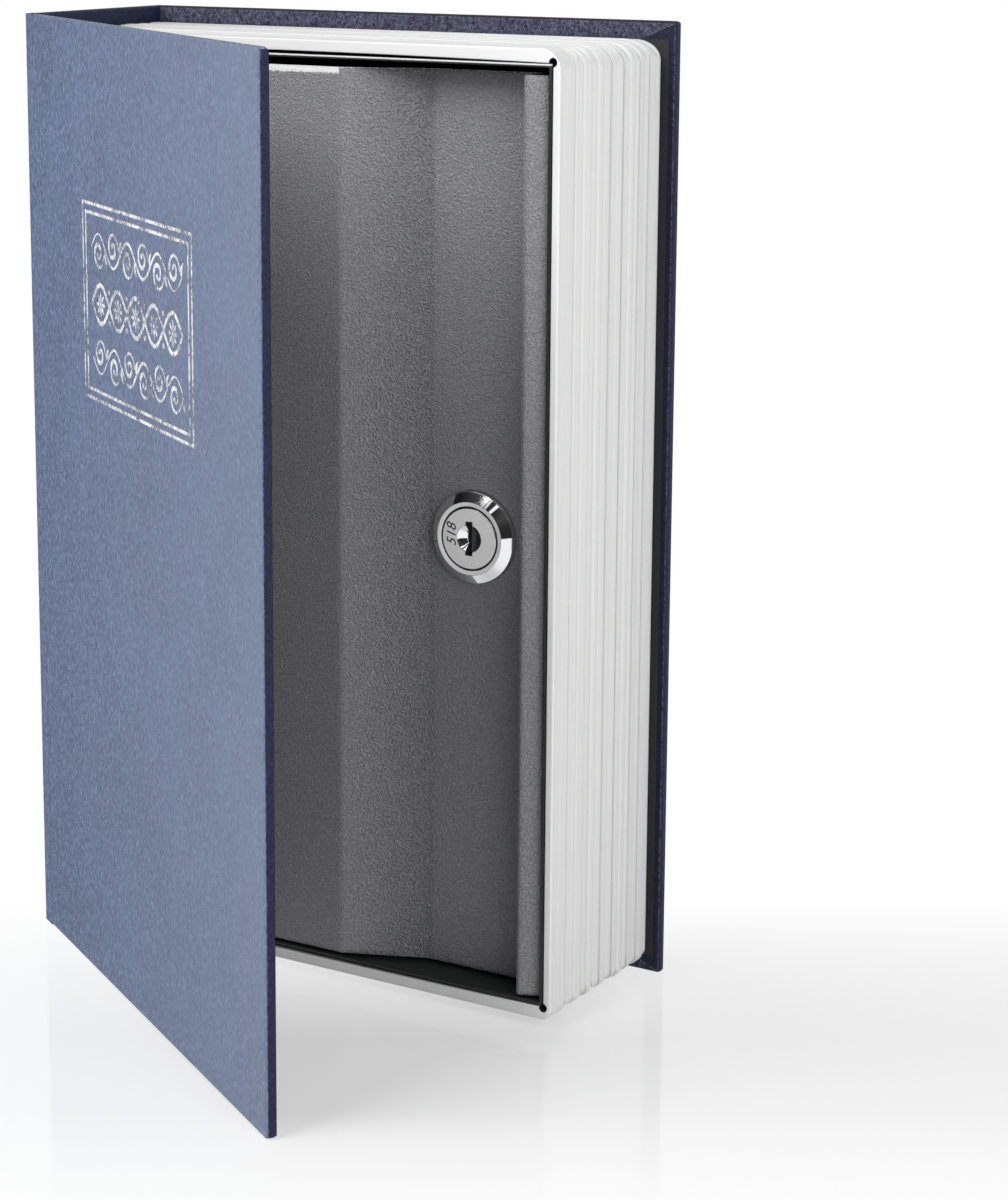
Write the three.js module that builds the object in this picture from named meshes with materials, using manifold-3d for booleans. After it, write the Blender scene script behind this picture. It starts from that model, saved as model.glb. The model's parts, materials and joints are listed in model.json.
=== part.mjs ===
// A book safe: a cloth-covered case, a moulded block of pages and a steel tray with a locked door.
// Millimetres. X runs from the spine to the fore-edge, Y from the front cover to the back cover, Z up.
// The origin is the middle of the spine's tail edge, on the surface that the book stands on.
import * as THREE from 'three';
import Module from 'manifold-3d';
import { mergeVertices } from 'three/addons/utils/BufferGeometryUtils.js';

const wasm = await Module();
wasm.setup();

// The closed book
const bookHeight = 240;
const bookWidth = 157;
const bookThickness = 55.5;
const coverOpenAngle = THREE.MathUtils.degToRad(32.8);

// The case: board, cloth round its edges and a paper liner over the turned-in cloth
const clothThickness = 0.35;
const boardThickness = 1.4;
const linerThickness = 0.2;
const glueGap = 0.2;
const turnInWidth = 12;
const linerMargin = 4;
const coverCornerRadius = 1;
const foldWidth = 3.4;
const creaseGap = 0.5;
const boardFoldGap = 0.6;

// The moulded block of pages
const coverClearance = 0.3;
const pageForeSquare = 3.7;
const pageHeadSquare = 4.2;
const pageTailSquare = 2.9;
const pageWall = 3.1;
const pageForeWall = 1.9;
const pageSpineWall = 3;
const pageCornerRadius = 5;
const pageCornerReach = 8.5;
const pageTailRadius = 2.5;
const pageReliefRadius = 0.9;
const pageReliefDepth = 6;
const pageGrooveDepth = 0.65;
const pageGrooveWidth = 1.1;
const pageEdgeRound = 0.4;

// The steel tray in the pages
const trayGap = 0.4;
const trayWall = 0.8;

// The door: flat by the hinge, a slope, a recess for the lock and a lip to pull
const doorSheet = 1;
const doorInset = 0.5;
const doorTailGap = 0.8;
const doorHeadGap = 1.9;
const doorForeGap = 0.6;
const doorBendRadius = 0.8;
const lipWidth = 6.2;
const lipSlant = 2.4;
const lipProud = 0.3;
const riserLean = 0.3;
const recessWidth = 29.8;
const recessDepth = 8.6;
const slopeWidth = 20.6;

// The hinge along the spine side of the tray
const knuckleRadius = 2.2;
const knuckleGap = 0.4;
const hingePinRadius = 1;
const hingePinHeadRadius = 1.7;
const hingePinHeadHeight = 0.8;
const hingeWallGap = 0.4;
const hingeEndInset = 2.2;
const leafWidth = 15;
const leafWeldGap = 0.1;
const knuckleCount = 7;
const rollWrap = THREE.MathUtils.degToRad(285);

// The cam lock
const lockHeight = 117.8;
const lockInset = 12.85;
const bezelRadius = 11.25;
const bezelFaceRadius = 9;
const bezelHeight = 3.1;
const bezelRim = 1.4;
const barrelRadius = 9;
const barrelFlat = 16;
const barrelLength = 15.4;
const lockFit = 0.3;
const seatGap = 0.1;
const plugFaceRadius = 7.6;
const plugFaceDepth = 2.2;
const plugShankRadius = 6;
const plugSquare = 7;
const keyDishRadius = 3.3;
const keyDishDepth = 1.1;
const keywayHeight = 8.4;
const keywayWidth = 2;
const keywayFloor = 1;
const shutterThickness = 0.4;
const shutterDepth = 2.4;
const washerThickness = 0.8;
const washerRadius = 11.5;
const nutThickness = 3;
const nutFlats = 22;
const camThickness = 2;
const camReach = 20;
const camWidth = 13;
const camTipWidth = 10;
const camWasherRadius = 6.4;
const camWasherThickness = 0.9;
const camScrewHeadFlats = 8;
const camScrewHeadHeight = 2.8;
const camScrewRadius = 2;
const camScrewLength = 9;

// The strike that the cam locks behind, with the stop that the door rests on
const strikeSheet = 1.2;
const strikeHeight = 34;
const strikeReach = 10.2;
const strikeStopReach = 9.4;
const strikePlay = 0.6;
const strikeBendRadius = 0.6;

// Steps of the round stretches and the overrun of every cut
const cutOverrun = 1;
const weldTolerance = 1e-4;
const circleSteps = 40;
const smallCircleSteps = 24;
const rollSteps = 14;
const bendSteps = 3;
const cornerSteps = 5;

// Places that follow from the sizes
const edgeThickness = boardThickness + 2 * clothThickness + 2 * glueGap;
const coverThickness = edgeThickness + glueGap + linerThickness;
const boardInset = clothThickness + glueGap;
const spineOuterX = -edgeThickness / 2;
const spineInnerX = spineOuterX + coverThickness;
const foreEdgeX = spineOuterX + bookWidth;
const frontOuterY = -bookThickness / 2;
const backOuterY = bookThickness / 2;
const backInnerY = backOuterY - coverThickness;

const pageFrontY = frontOuterY + coverThickness + coverClearance;
const pageBackY = backInnerY - glueGap;
const pageThickness = pageBackY - pageFrontY;
const pageSpineX = spineInnerX + glueGap;
const pageForeX = foreEdgeX - pageForeSquare;
const pageTailZ = pageTailSquare;
const pageHeadZ = bookHeight - pageHeadSquare;

const trayOuter = {
  x0: pageSpineX + pageSpineWall + trayGap,
  x1: pageForeX - pageForeWall - trayGap,
  y0: pageFrontY + glueGap,
  y1: pageBackY - glueGap,
  z0: pageTailZ + pageWall + trayGap,
  z1: pageHeadZ - pageWall - trayGap,
};
const trayInner = {
  x0: trayOuter.x0 + trayWall,
  x1: trayOuter.x1 - trayWall,
  y0: trayOuter.y0,
  y1: trayOuter.y1 - trayWall,
  z0: trayOuter.z0 + trayWall,
  z1: trayOuter.z1 - trayWall,
};

const doorFrontY = pageFrontY + doorInset;
const doorTailZ = trayInner.z0 + doorTailGap;
const doorHeadZ = trayInner.z1 - doorHeadGap;
const lipTipX = trayInner.x1 - doorForeGap;
const lipCrestX = lipTipX - lipWidth;
const recessForeX = lipCrestX - riserLean;
const recessSpineX = recessForeX - recessWidth;
const slopeX = recessSpineX - slopeWidth;
const recessY = doorFrontY + recessDepth;
const recessBackY = recessY + doorSheet;

const hingeX = trayInner.x0 + hingeWallGap + knuckleRadius;
const hingeY = doorFrontY + knuckleRadius;
const hingeTailZ = doorTailZ + hingeEndInset;
const hingeHeadZ = doorHeadZ - hingeEndInset;
const knucklePitch = (hingeHeadZ - hingeTailZ + knuckleGap) / knuckleCount;
const knuckleLength = knucklePitch - knuckleGap;
const rollMidRadius = knuckleRadius - doorSheet / 2;
const doorEdgeX = hingeX + knuckleRadius + knuckleGap;

const lockX = recessSpineX + lockInset;
const camFrontY = recessY + barrelLength + lockFit;

// Geometry turned into a closed solid with its faces pointing out
function signedVolume(position, index) {
  const corners = [new THREE.Vector3(), new THREE.Vector3(), new THREE.Vector3()];
  let sum = 0;
  for (let i = 0; i < index.count; i += corners.length) {
    corners.forEach((corner, k) => corner.fromBufferAttribute(position, index.getX(i + k)));
    sum += corners[0].dot(corners[1].cross(corners[2]));
  }
  return sum;
}

function solidOf(geometry) {
  const plain = geometry.index ? geometry.toNonIndexed() : geometry.clone();
  plain.deleteAttribute('normal');
  plain.deleteAttribute('uv');
  const merged = mergeVertices(plain, weldTolerance);
  const triVerts = Uint32Array.from(merged.index.array);
  if (signedVolume(merged.attributes.position, merged.index) < 0) {
    triVerts.reverse();
  }
  const vertProperties = Float32Array.from(merged.attributes.position.array);
  return new wasm.Manifold(new wasm.Mesh({ numProp: 3, vertProperties, triVerts }));
}

function geometryOf(solid) {
  const mesh = solid.getMesh();
  const geometry = new THREE.BufferGeometry();
  geometry.setAttribute('position', new THREE.BufferAttribute(mesh.vertProperties, 3));
  geometry.setIndex(new THREE.BufferAttribute(mesh.triVerts, 1));
  const flat = geometry.toNonIndexed();
  flat.computeVertexNormals();
  return flat;
}

// Solids from boxes, outlines and profiles
function boxSolid(x0, x1, y0, y1, z0, z1) {
  const geometry = new THREE.BoxGeometry(x1 - x0, y1 - y0, z1 - z0);
  geometry.translate((x0 + x1) / 2, (y0 + y1) / 2, (z0 + z1) / 2);
  return solidOf(geometry);
}

// An outline in X and Y, raised from z0 to z1
function uprightSolid(points, z0, z1) {
  const shape = new THREE.Shape(points);
  const geometry = new THREE.ExtrudeGeometry(shape, { depth: z1 - z0, bevelEnabled: false });
  geometry.translate(0, 0, z0);
  return solidOf(geometry);
}

// An outline in X and Z, run from y0 to y1
function throughSolid(points, y0, y1) {
  const shape = new THREE.Shape(points);
  const geometry = new THREE.ExtrudeGeometry(shape, { depth: y1 - y0, bevelEnabled: false });
  geometry.rotateX(Math.PI / 2);
  geometry.translate(0, y1, 0);
  return solidOf(geometry);
}

// A profile of [radius, depth] points turned round the Y axis
function turnedSolid(profile, steps = circleSteps) {
  const points = profile.map(([radius, depth]) => new THREE.Vector2(radius, depth));
  return solidOf(new THREE.LatheGeometry(points, steps));
}

function pointsOf(pairs) {
  return pairs.map(([x, y]) => new THREE.Vector2(x, y));
}

// Points of an arc about a centre, both ends included
function arcPoints(centreX, centreY, radius, from, to, steps) {
  const points = [];
  for (let i = 0; i <= steps; i += 1) {
    const angle = from + ((to - from) * i) / steps;
    points.push(new THREE.Vector2(centreX + radius * Math.cos(angle), centreY + radius * Math.sin(angle)));
  }
  return points;
}

// A rectangle whose two corners on its far side are round
function panelPoints(x0, x1, z0, z1, radius) {
  const quarter = Math.PI / 2;
  return [
    new THREE.Vector2(x0, z0),
    ...arcPoints(x1 - radius, z0 + radius, radius, -quarter, 0, cornerSteps),
    ...arcPoints(x1 - radius, z1 - radius, radius, 0, quarter, cornerSteps),
    new THREE.Vector2(x0, z1),
  ];
}

// A hexagon by the width across its flats, two of which face along X
function hexagonPoints(centreX, centreZ, flats) {
  const corner = flats / 2 / Math.cos(Math.PI / 6);
  return arcPoints(centreX, centreZ, corner, Math.PI / 6, Math.PI / 6 + (Math.PI * 5) / 3, 5);
}

// Corner points joined by straight runs and bends of one radius
function bendPath(corners, radius) {
  const path = [corners[0]];
  for (let i = 1; i < corners.length - 1; i += 1) {
    const into = corners[i].clone().sub(corners[i - 1]).normalize();
    const out = corners[i + 1].clone().sub(corners[i]).normalize();
    const turn = Math.atan2(into.cross(out), into.dot(out));
    const side = Math.sign(turn);
    const setback = radius * Math.tan(Math.abs(turn) / 2);
    const start = corners[i].clone().addScaledVector(into, -setback);
    const toCentre = new THREE.Vector2(-into.y, into.x).multiplyScalar(side * radius);
    const centre = start.clone().add(toCentre);
    const from = Math.atan2(-toCentre.y, -toCentre.x);
    path.push(...arcPoints(centre.x, centre.y, radius, from, from + turn, bendSteps));
  }
  path.push(corners[corners.length - 1]);
  return path;
}

// The outline of a sheet of one thickness about its middle line
function sheetOutline(path, thickness) {
  const left = [];
  const right = [];
  path.forEach((point, i) => {
    const before = path[Math.max(i - 1, 0)];
    const after = path[Math.min(i + 1, path.length - 1)];
    const into = point.clone().sub(before).normalize();
    const out = after.clone().sub(point).normalize();
    const run = into.add(out).normalize();
    const bend = i > 0 && i < path.length - 1 ? Math.abs(run.dot(out)) : 1;
    const normal = new THREE.Vector2(-run.y, run.x).multiplyScalar(thickness / 2 / bend);
    left.push(point.clone().add(normal));
    right.push(point.clone().sub(normal));
  });
  return [...left, ...right.reverse()];
}

// Named meshes
const material = (color, roughness, metalness) => new THREE.MeshStandardMaterial({
  color,
  roughness,
  metalness,
});

const clothMaterial = () => material('#5a6c8c', 0.6, 0);
const linerMaterial = () => material('#23263c', 0.8, 0);
const boardMaterial = () => material('#8a7f6e', 0.9, 0);
const pageMaterial = () => material('#e6e6e4', 0.45, 0);
const paintMaterial = () => material('#5c5d60', 0.55, 0.2);
const doorMaterial = () => material('#6c6d70', 0.5, 0.2);
const zincMaterial = () => material('#b9bbbd', 0.35, 0.9);
const chromeMaterial = () => material('#e4e6e8', 0.12, 1);

function meshOf(name, solid, meshMaterial) {
  const mesh = new THREE.Mesh(geometryOf(solid), meshMaterial);
  mesh.name = name;
  return mesh;
}

// The front cover lies closed in its own frame: X from the crease, Y in from the outer face
function coverCloth(x0) {
  const hollowOutline = panelPoints(
    x0 - cutOverrun,
    bookWidth - clothThickness,
    clothThickness,
    bookHeight - clothThickness,
    coverCornerRadius,
  );
  const hollow = throughSolid(hollowOutline, clothThickness, edgeThickness - clothThickness);
  const window = boxSolid(
    x0 - cutOverrun,
    bookWidth - turnInWidth,
    edgeThickness / 2,
    edgeThickness + cutOverrun,
    turnInWidth,
    bookHeight - turnInWidth,
  );
  return throughSolid(panelPoints(x0, bookWidth, 0, bookHeight, coverCornerRadius), 0, edgeThickness)
    .subtract(hollow)
    .subtract(window);
}

function coverBoard(x0) {
  const outline = panelPoints(
    x0,
    bookWidth - boardInset,
    boardInset,
    bookHeight - boardInset,
    coverCornerRadius,
  );
  return throughSolid(outline, boardInset, boardInset + boardThickness);
}

function coverLiner(x0) {
  return boxSolid(
    x0,
    bookWidth - linerMargin,
    edgeThickness + glueGap,
    coverThickness,
    linerMargin,
    bookHeight - linerMargin,
  );
}

// The strip of cloth between the two creases of the front joint, doubled at its turned-in ends
function foldStrip() {
  const x0 = creaseGap;
  const x1 = foldWidth - creaseGap;
  const strip = boxSolid(x0, x1, 0, clothThickness, 0, bookHeight);
  const tail = boxSolid(x0, x1, 0, 2 * clothThickness, 0, turnInWidth);
  const head = boxSolid(x0, x1, 0, 2 * clothThickness, bookHeight - turnInWidth, bookHeight);
  return strip.add(tail).add(head);
}

// The cloth of the back cover, the rear joint and the spine is one sheet
function caseCloth() {
  const spineY0 = frontOuterY + 2 * clothThickness + creaseGap;
  const spine = boxSolid(spineOuterX, spineOuterX + edgeThickness, spineY0, backOuterY, 0, bookHeight);
  const backOutline = panelPoints(spineOuterX, foreEdgeX, 0, bookHeight, coverCornerRadius);
  const back = throughSolid(backOutline, backOuterY - edgeThickness, backOuterY);
  const spineHollow = boxSolid(
    spineOuterX + clothThickness,
    spineOuterX + edgeThickness - clothThickness,
    spineY0 - cutOverrun,
    backOuterY - clothThickness,
    clothThickness,
    bookHeight - clothThickness,
  );
  const backHollow = throughSolid(
    panelPoints(
      spineOuterX + clothThickness,
      foreEdgeX - clothThickness,
      clothThickness,
      bookHeight - clothThickness,
      coverCornerRadius,
    ),
    backOuterY - edgeThickness + clothThickness,
    backOuterY - clothThickness,
  );
  const spineWindow = boxSolid(
    0,
    spineInnerX,
    spineY0 - cutOverrun,
    backOuterY - edgeThickness / 2,
    turnInWidth,
    bookHeight - turnInWidth,
  );
  const backWindow = boxSolid(
    0,
    foreEdgeX - turnInWidth,
    backInnerY,
    backOuterY - edgeThickness / 2,
    turnInWidth,
    bookHeight - turnInWidth,
  );
  return spine.add(back)
    .subtract(spineHollow)
    .subtract(backHollow)
    .subtract(spineWindow)
    .subtract(backWindow);
}

function spineBoard() {
  return boxSolid(
    spineOuterX + boardInset,
    spineOuterX + boardInset + boardThickness,
    frontOuterY + foldWidth,
    backOuterY - foldWidth,
    boardInset,
    bookHeight - boardInset,
  );
}

function spineLiner() {
  return boxSolid(
    spineInnerX - linerThickness,
    spineInnerX,
    frontOuterY + foldWidth,
    backInnerY - linerMargin,
    linerMargin,
    bookHeight - linerMargin,
  );
}

function backBoard() {
  return coverBoard(foldWidth)
    .mirror([0, 1, 0])
    .translate([spineOuterX, backOuterY, 0]);
}

function backLiner() {
  return coverLiner(coverThickness)
    .mirror([0, 1, 0])
    .translate([spineOuterX, backOuterY, 0]);
}

// The block of pages. Each row is a bundle of pages: the share of the thickness where it ends,
// how far it stands back as a share of the groove depth, and the depth of the groove after it.
const pageBundleShares = [
  [0.155, 0, 0.8],
  [0.235, 0.2, 0.45],
  [0.317, 0.1, 0.9],
  [0.372, 0.3, 0.5],
  [0.427, 0.05, 1],
  [0.502, 0.25, 0.85],
  [0.563, 0.1, 0.45],
  [0.627, 0.3, 1],
  [0.684, 0.15, 0.5],
  [0.744, 0, 0.75],
  [0.79, 0.25, 0.9],
  [0.838, 0.1, 0.45],
  [0.889, 0.35, 0.85],
  [0.968, 0.1, 0.9],
  [1, 0.4, 0],
];

// Stations of [y, inset] from the front of the block to its back
function pageStations() {
  const last = pageBundleShares.length - 1;
  const stations = [[pageFrontY, pageEdgeRound], [pageFrontY + pageEdgeRound, 0]];
  pageBundleShares.forEach(([end, back, groove], i) => {
    const y = pageFrontY + end * pageThickness;
    const level = back * pageGrooveDepth;
    if (i === last) {
      stations.push([y, level]);
      return;
    }
    const nextLevel = pageBundleShares[i + 1][1] * pageGrooveDepth;
    stations.push([y - pageGrooveWidth / 2, level]);
    stations.push([y, level + groove * pageGrooveDepth]);
    stations.push([y + pageGrooveWidth / 2, nextLevel]);
  });
  return stations;
}

// The outline of the block at one depth. Its head corner is drawn out more the further back it is.
function pageRing([y, inset]) {
  const quarter = Math.PI / 2;
  const x1 = pageForeX - inset;
  const z0 = pageTailZ + inset;
  const z1 = pageHeadZ - inset;
  const tail = pageTailRadius - inset;
  const rise = pageCornerRadius - inset;
  const drawnOut = ((pageCornerReach - pageCornerRadius) * (y - pageFrontY)) / pageThickness;
  const stretch = (rise + drawnOut) / rise;
  const headCorner = arcPoints(x1 - rise, z1 - rise, rise, 0, quarter, cornerSteps);
  headCorner.forEach((p) => {
    p.x = x1 - (x1 - p.x) * stretch;
  });
  const outline = [
    new THREE.Vector2(pageSpineX, z0),
    ...arcPoints(x1 - tail, z0 + tail, tail, -quarter, 0, cornerSteps),
    ...headCorner,
    new THREE.Vector2(pageSpineX, z1),
  ];
  return outline.map((p) => new THREE.Vector3(p.x, y, p.y));
}

// A skin over rings of points, closed by a fan at each end
function loftSolid(rings) {
  const count = rings[0].length;
  const position = rings.flat().flatMap((p) => [p.x, p.y, p.z]);
  const index = [];
  for (let r = 0; r < rings.length - 1; r += 1) {
    for (let i = 0; i < count; i += 1) {
      const a = r * count + i;
      const b = r * count + ((i + 1) % count);
      index.push(a, b, b + count, a, b + count, a + count);
    }
  }
  const lastRing = (rings.length - 1) * count;
  for (let i = 1; i < count - 1; i += 1) {
    index.push(0, i + 1, i, lastRing, lastRing + i, lastRing + i + 1);
  }
  const geometry = new THREE.BufferGeometry();
  geometry.setAttribute('position', new THREE.Float32BufferAttribute(position, 3));
  geometry.setIndex(index);
  return solidOf(geometry);
}

function pageBlock() {
  const x0 = pageSpineX + pageSpineWall;
  const x1 = pageForeX - pageForeWall;
  const z0 = pageTailZ + pageWall;
  const z1 = pageHeadZ - pageWall;
  const y0 = pageFrontY - cutOverrun;
  const y1 = pageBackY + cutOverrun;
  let opening = boxSolid(x0, x1, y0, y1, z0, z1);
  [z0, z1].forEach((z) => {
    const circle = arcPoints(x1, z, pageReliefRadius, 0, 2 * Math.PI, smallCircleSteps).slice(1);
    opening = opening.add(throughSolid(circle, y0, pageFrontY + pageReliefDepth));
  });
  return loftSolid(pageStations().map(pageRing)).subtract(opening);
}

// The tray is one folded sheet, open to the front
function steelTray() {
  const box = (t) => boxSolid(t.x0, t.x1, t.y0, t.y1, t.z0, t.z1);
  return box(trayOuter).subtract(box({ ...trayInner, y0: trayInner.y0 - cutOverrun }));
}

// The hinge leaf, joggled off the tray wall, with its knuckles rolled round the pin
function knuckleSpan(i) {
  const z0 = hingeTailZ + i * knucklePitch;
  return [z0, z0 + knuckleLength];
}

function hingeLeaf() {
  const flangeX = trayInner.x0 + leafWeldGap + doorSheet / 2;
  const neckX = hingeX - rollMidRadius;
  const neckY = hingeY + doorSheet;
  const flangeY = hingeY + knuckleRadius + knuckleGap;
  const endY = flangeY + leafWidth;
  const flange = boxSolid(
    flangeX - doorSheet / 2,
    flangeX + doorSheet / 2,
    flangeY,
    endY,
    hingeTailZ,
    hingeHeadZ,
  );
  const roll = [
    ...pointsOf([[flangeX, flangeY + doorSheet], [flangeX, flangeY], [neckX, neckY]]),
    ...arcPoints(hingeX, hingeY, rollMidRadius, Math.PI, Math.PI + rollWrap, rollSteps),
  ];
  let leaf = flange;
  for (let i = 0; i < knuckleCount; i += 2) {
    leaf = leaf.add(uprightSolid(sheetOutline(roll, doorSheet), ...knuckleSpan(i)));
  }
  return leaf;
}

function hingePin() {
  const headTail = hingeTailZ - lockFit;
  const headHead = hingeHeadZ + lockFit;
  const circle = (radius) => arcPoints(hingeX, hingeY, radius, 0, 2 * Math.PI, smallCircleSteps).slice(1);
  const shank = uprightSolid(circle(hingePinRadius), headTail, headHead);
  const tail = uprightSolid(circle(hingePinHeadRadius), headTail - hingePinHeadHeight, headTail);
  const head = uprightSolid(circle(hingePinHeadRadius), headHead, headHead + hingePinHeadHeight);
  return shank.add(tail).add(head);
}

// The door: the formed panel, the knuckles rolled from its edge and the hole for the lock
function barrelHole() {
  const y0 = recessY - cutOverrun;
  const y1 = recessBackY + cutOverrun;
  const radius = barrelRadius + lockFit;
  const half = barrelFlat / 2 + lockFit;
  const circle = arcPoints(lockX, lockHeight, radius, 0, 2 * Math.PI, circleSteps).slice(1);
  const flats = boxSolid(lockX - half, lockX + half, y0, y1, lockHeight - radius, lockHeight + radius);
  return throughSolid(circle, y0, y1).intersect(flats);
}

function doorPanel() {
  const midFrontY = doorFrontY + doorSheet / 2;
  const midRecessY = recessY + doorSheet / 2;
  const crestY = doorFrontY - lipProud;
  const path = bendPath(
    pointsOf([
      [doorEdgeX, midFrontY],
      [slopeX, midFrontY],
      [recessSpineX, midRecessY],
      [recessForeX + doorSheet / 2, midRecessY],
      [lipCrestX + doorSheet / 2, crestY],
      [lipTipX, crestY + lipSlant],
    ]),
    doorBendRadius,
  );
  const roll = [
    new THREE.Vector2(doorEdgeX + doorSheet, midFrontY),
    ...arcPoints(hingeX, hingeY, rollMidRadius, -Math.PI / 2, -Math.PI / 2 - rollWrap, rollSteps),
  ];
  let panel = uprightSolid(sheetOutline(path, doorSheet), doorTailZ, doorHeadZ);
  for (let i = 1; i < knuckleCount; i += 2) {
    panel = panel.add(uprightSolid(sheetOutline(roll, doorSheet), ...knuckleSpan(i)));
  }
  return panel.subtract(barrelHole());
}

// The strike: a channel on the tray's fore-edge wall. The door rests on its front leg and the
// cam locks behind its rear leg.
function strikeBracket() {
  const webX = trayInner.x1 - seatGap - strikeSheet / 2;
  const stopY = recessBackY + lockFit + strikeSheet / 2;
  const lipY = camFrontY - strikePlay - strikeSheet / 2;
  const path = bendPath(
    pointsOf([
      [trayInner.x1 - strikeStopReach, stopY],
      [webX, stopY],
      [webX, lipY],
      [trayInner.x1 - strikeReach, lipY],
    ]),
    strikeBendRadius,
  );
  const z0 = lockHeight - strikeHeight / 2;
  return uprightSolid(sheetOutline(path, strikeSheet), z0, z0 + strikeHeight);
}

// The lock lies in its own frame: Y runs back from the front of the recess, on the lock's axis
function lockBody() {
  const faceBore = plugFaceRadius + lockFit;
  const shankBore = plugShankRadius + lockFit;
  const faceY = -bezelHeight;
  const seatY = faceY + plugFaceDepth + lockFit;
  const body = turnedSolid([
    [faceBore, faceY],
    [bezelFaceRadius, faceY],
    [bezelRadius, -seatGap - bezelRim],
    [bezelRadius, -seatGap],
    [barrelRadius, -seatGap],
    [barrelRadius, barrelLength],
    [shankBore, barrelLength],
    [shankBore, seatY],
    [faceBore, seatY],
    [faceBore, faceY],
  ]);
  const half = barrelFlat / 2;
  const end = barrelLength + cutOverrun;
  const side = (x0, x1) => boxSolid(x0, x1, -seatGap, end, -bezelRadius, bezelRadius);
  return body
    .subtract(side(half, bezelRadius))
    .subtract(side(-bezelRadius, -half));
}

function lockWasher() {
  const y0 = doorSheet + seatGap;
  const bore = barrelRadius + lockFit;
  return turnedSolid([
    [bore, y0],
    [washerRadius, y0],
    [washerRadius, y0 + washerThickness],
    [bore, y0 + washerThickness],
    [bore, y0],
  ]);
}

function lockNut() {
  const y0 = doorSheet + washerThickness + 2 * seatGap;
  const y1 = y0 + nutThickness;
  const bore = arcPoints(0, 0, barrelRadius + lockFit, 0, 2 * Math.PI, circleSteps).slice(1);
  return throughSolid(hexagonPoints(0, 0, nutFlats), y0, y1)
    .subtract(throughSolid(bore, y0 - cutOverrun, y1 + cutOverrun));
}

function lockPlug() {
  const faceY = -bezelHeight;
  const squareEnd = barrelLength + lockFit + camThickness - seatGap;
  const plug = turnedSolid([
    [0, faceY],
    [plugFaceRadius, faceY],
    [plugFaceRadius, faceY + plugFaceDepth],
    [plugShankRadius, faceY + plugFaceDepth],
    [plugShankRadius, barrelLength],
    [0, barrelLength],
  ]);
  const half = plugSquare / 2;
  const square = boxSolid(-half, half, 0, squareEnd, -half, half);
  const dish = turnedSolid([
    [0, faceY - cutOverrun],
    [keyDishRadius, faceY - cutOverrun],
    [keyDishRadius, faceY],
    [keyDishRadius - keyDishDepth / 2, faceY + keyDishDepth],
    [0, faceY + keyDishDepth],
  ]);
  const threadY = squareEnd - camScrewLength;
  const keyway = boxSolid(
    -keywayWidth / 2,
    keywayWidth / 2,
    faceY - cutOverrun,
    threadY - keywayFloor,
    -keywayHeight / 2,
    keywayHeight / 2,
  );
  const threadHole = turnedSolid([
    [0, threadY],
    [camScrewRadius + lockFit, threadY],
    [camScrewRadius + lockFit, squareEnd + cutOverrun],
    [0, squareEnd + cutOverrun],
  ], smallCircleSteps);
  return plug.add(square).subtract(dish).subtract(keyway).subtract(threadHole);
}

// The dust shutter stands across the keyway, behind the dish
function keywayShutter() {
  const halfWidth = keywayWidth / 2 - lockFit;
  const halfHeight = keywayHeight / 2 - lockFit;
  const y0 = -bezelHeight + shutterDepth;
  return boxSolid(-halfWidth, halfWidth, y0, y0 + shutterThickness, -halfHeight, halfHeight);
}

// The cam hangs down when the lock is open: a round hub, an arm and a square hole
function lockCam() {
  const y0 = barrelLength + lockFit;
  const y1 = y0 + camThickness;
  const hubRadius = camWidth / 2;
  const tipRadius = camTipWidth / 2;
  const outline = [
    ...arcPoints(0, 0, hubRadius, 0, Math.PI, circleSteps / 2),
    ...arcPoints(0, tipRadius - camReach, tipRadius, Math.PI, 2 * Math.PI, circleSteps / 2),
  ];
  const half = plugSquare / 2 + lockFit;
  return throughSolid(outline, y0, y1)
    .subtract(boxSolid(-half, half, y0 - cutOverrun, y1 + cutOverrun, -half, half));
}

function camWasher() {
  const y0 = barrelLength + lockFit + camThickness + seatGap;
  const bore = camScrewRadius + lockFit;
  return turnedSolid([
    [bore, y0],
    [camWasherRadius, y0],
    [camWasherRadius, y0 + camWasherThickness],
    [bore, y0 + camWasherThickness],
    [bore, y0],
  ], smallCircleSteps);
}

function camScrew() {
  const headY = barrelLength + lockFit + camThickness + camWasherThickness + 2 * seatGap;
  const shankY = headY - camScrewLength + camThickness + lockFit;
  const shank = turnedSolid([
    [0, shankY],
    [camScrewRadius, shankY],
    [camScrewRadius, headY],
    [0, headY],
  ], smallCircleSteps);
  return shank.add(throughSolid(hexagonPoints(0, 0, camScrewHeadFlats), headY, headY + camScrewHeadHeight));
}

// The assembly
const book = new THREE.Group();

book.add(meshOf('case_cloth', caseCloth(), clothMaterial()));
book.add(meshOf('back_board', backBoard(), boardMaterial()));
book.add(meshOf('back_liner', backLiner(), linerMaterial()));
book.add(meshOf('spine_board', spineBoard(), boardMaterial()));
book.add(meshOf('spine_liner', spineLiner(), linerMaterial()));
book.add(meshOf('page_block', pageBlock(), pageMaterial()));
book.add(meshOf('steel_tray', steelTray(), paintMaterial()));
book.add(meshOf('hinge_leaf', hingeLeaf(), paintMaterial()));
book.add(meshOf('hinge_pin', hingePin(), zincMaterial()));
book.add(meshOf('strike_bracket', strikeBracket(), paintMaterial()));

const frontCover = new THREE.Group();
frontCover.position.set(spineOuterX, frontOuterY, 0);
frontCover.rotation.z = -coverOpenAngle;
frontCover.add(meshOf('front_fold_cloth', foldStrip(), clothMaterial()));
frontCover.add(meshOf('front_cloth', coverCloth(foldWidth + creaseGap), clothMaterial()));
frontCover.add(meshOf('front_board', coverBoard(foldWidth + boardFoldGap), boardMaterial()));
frontCover.add(meshOf('front_liner', coverLiner(foldWidth + linerMargin), linerMaterial()));
book.add(frontCover);

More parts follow.
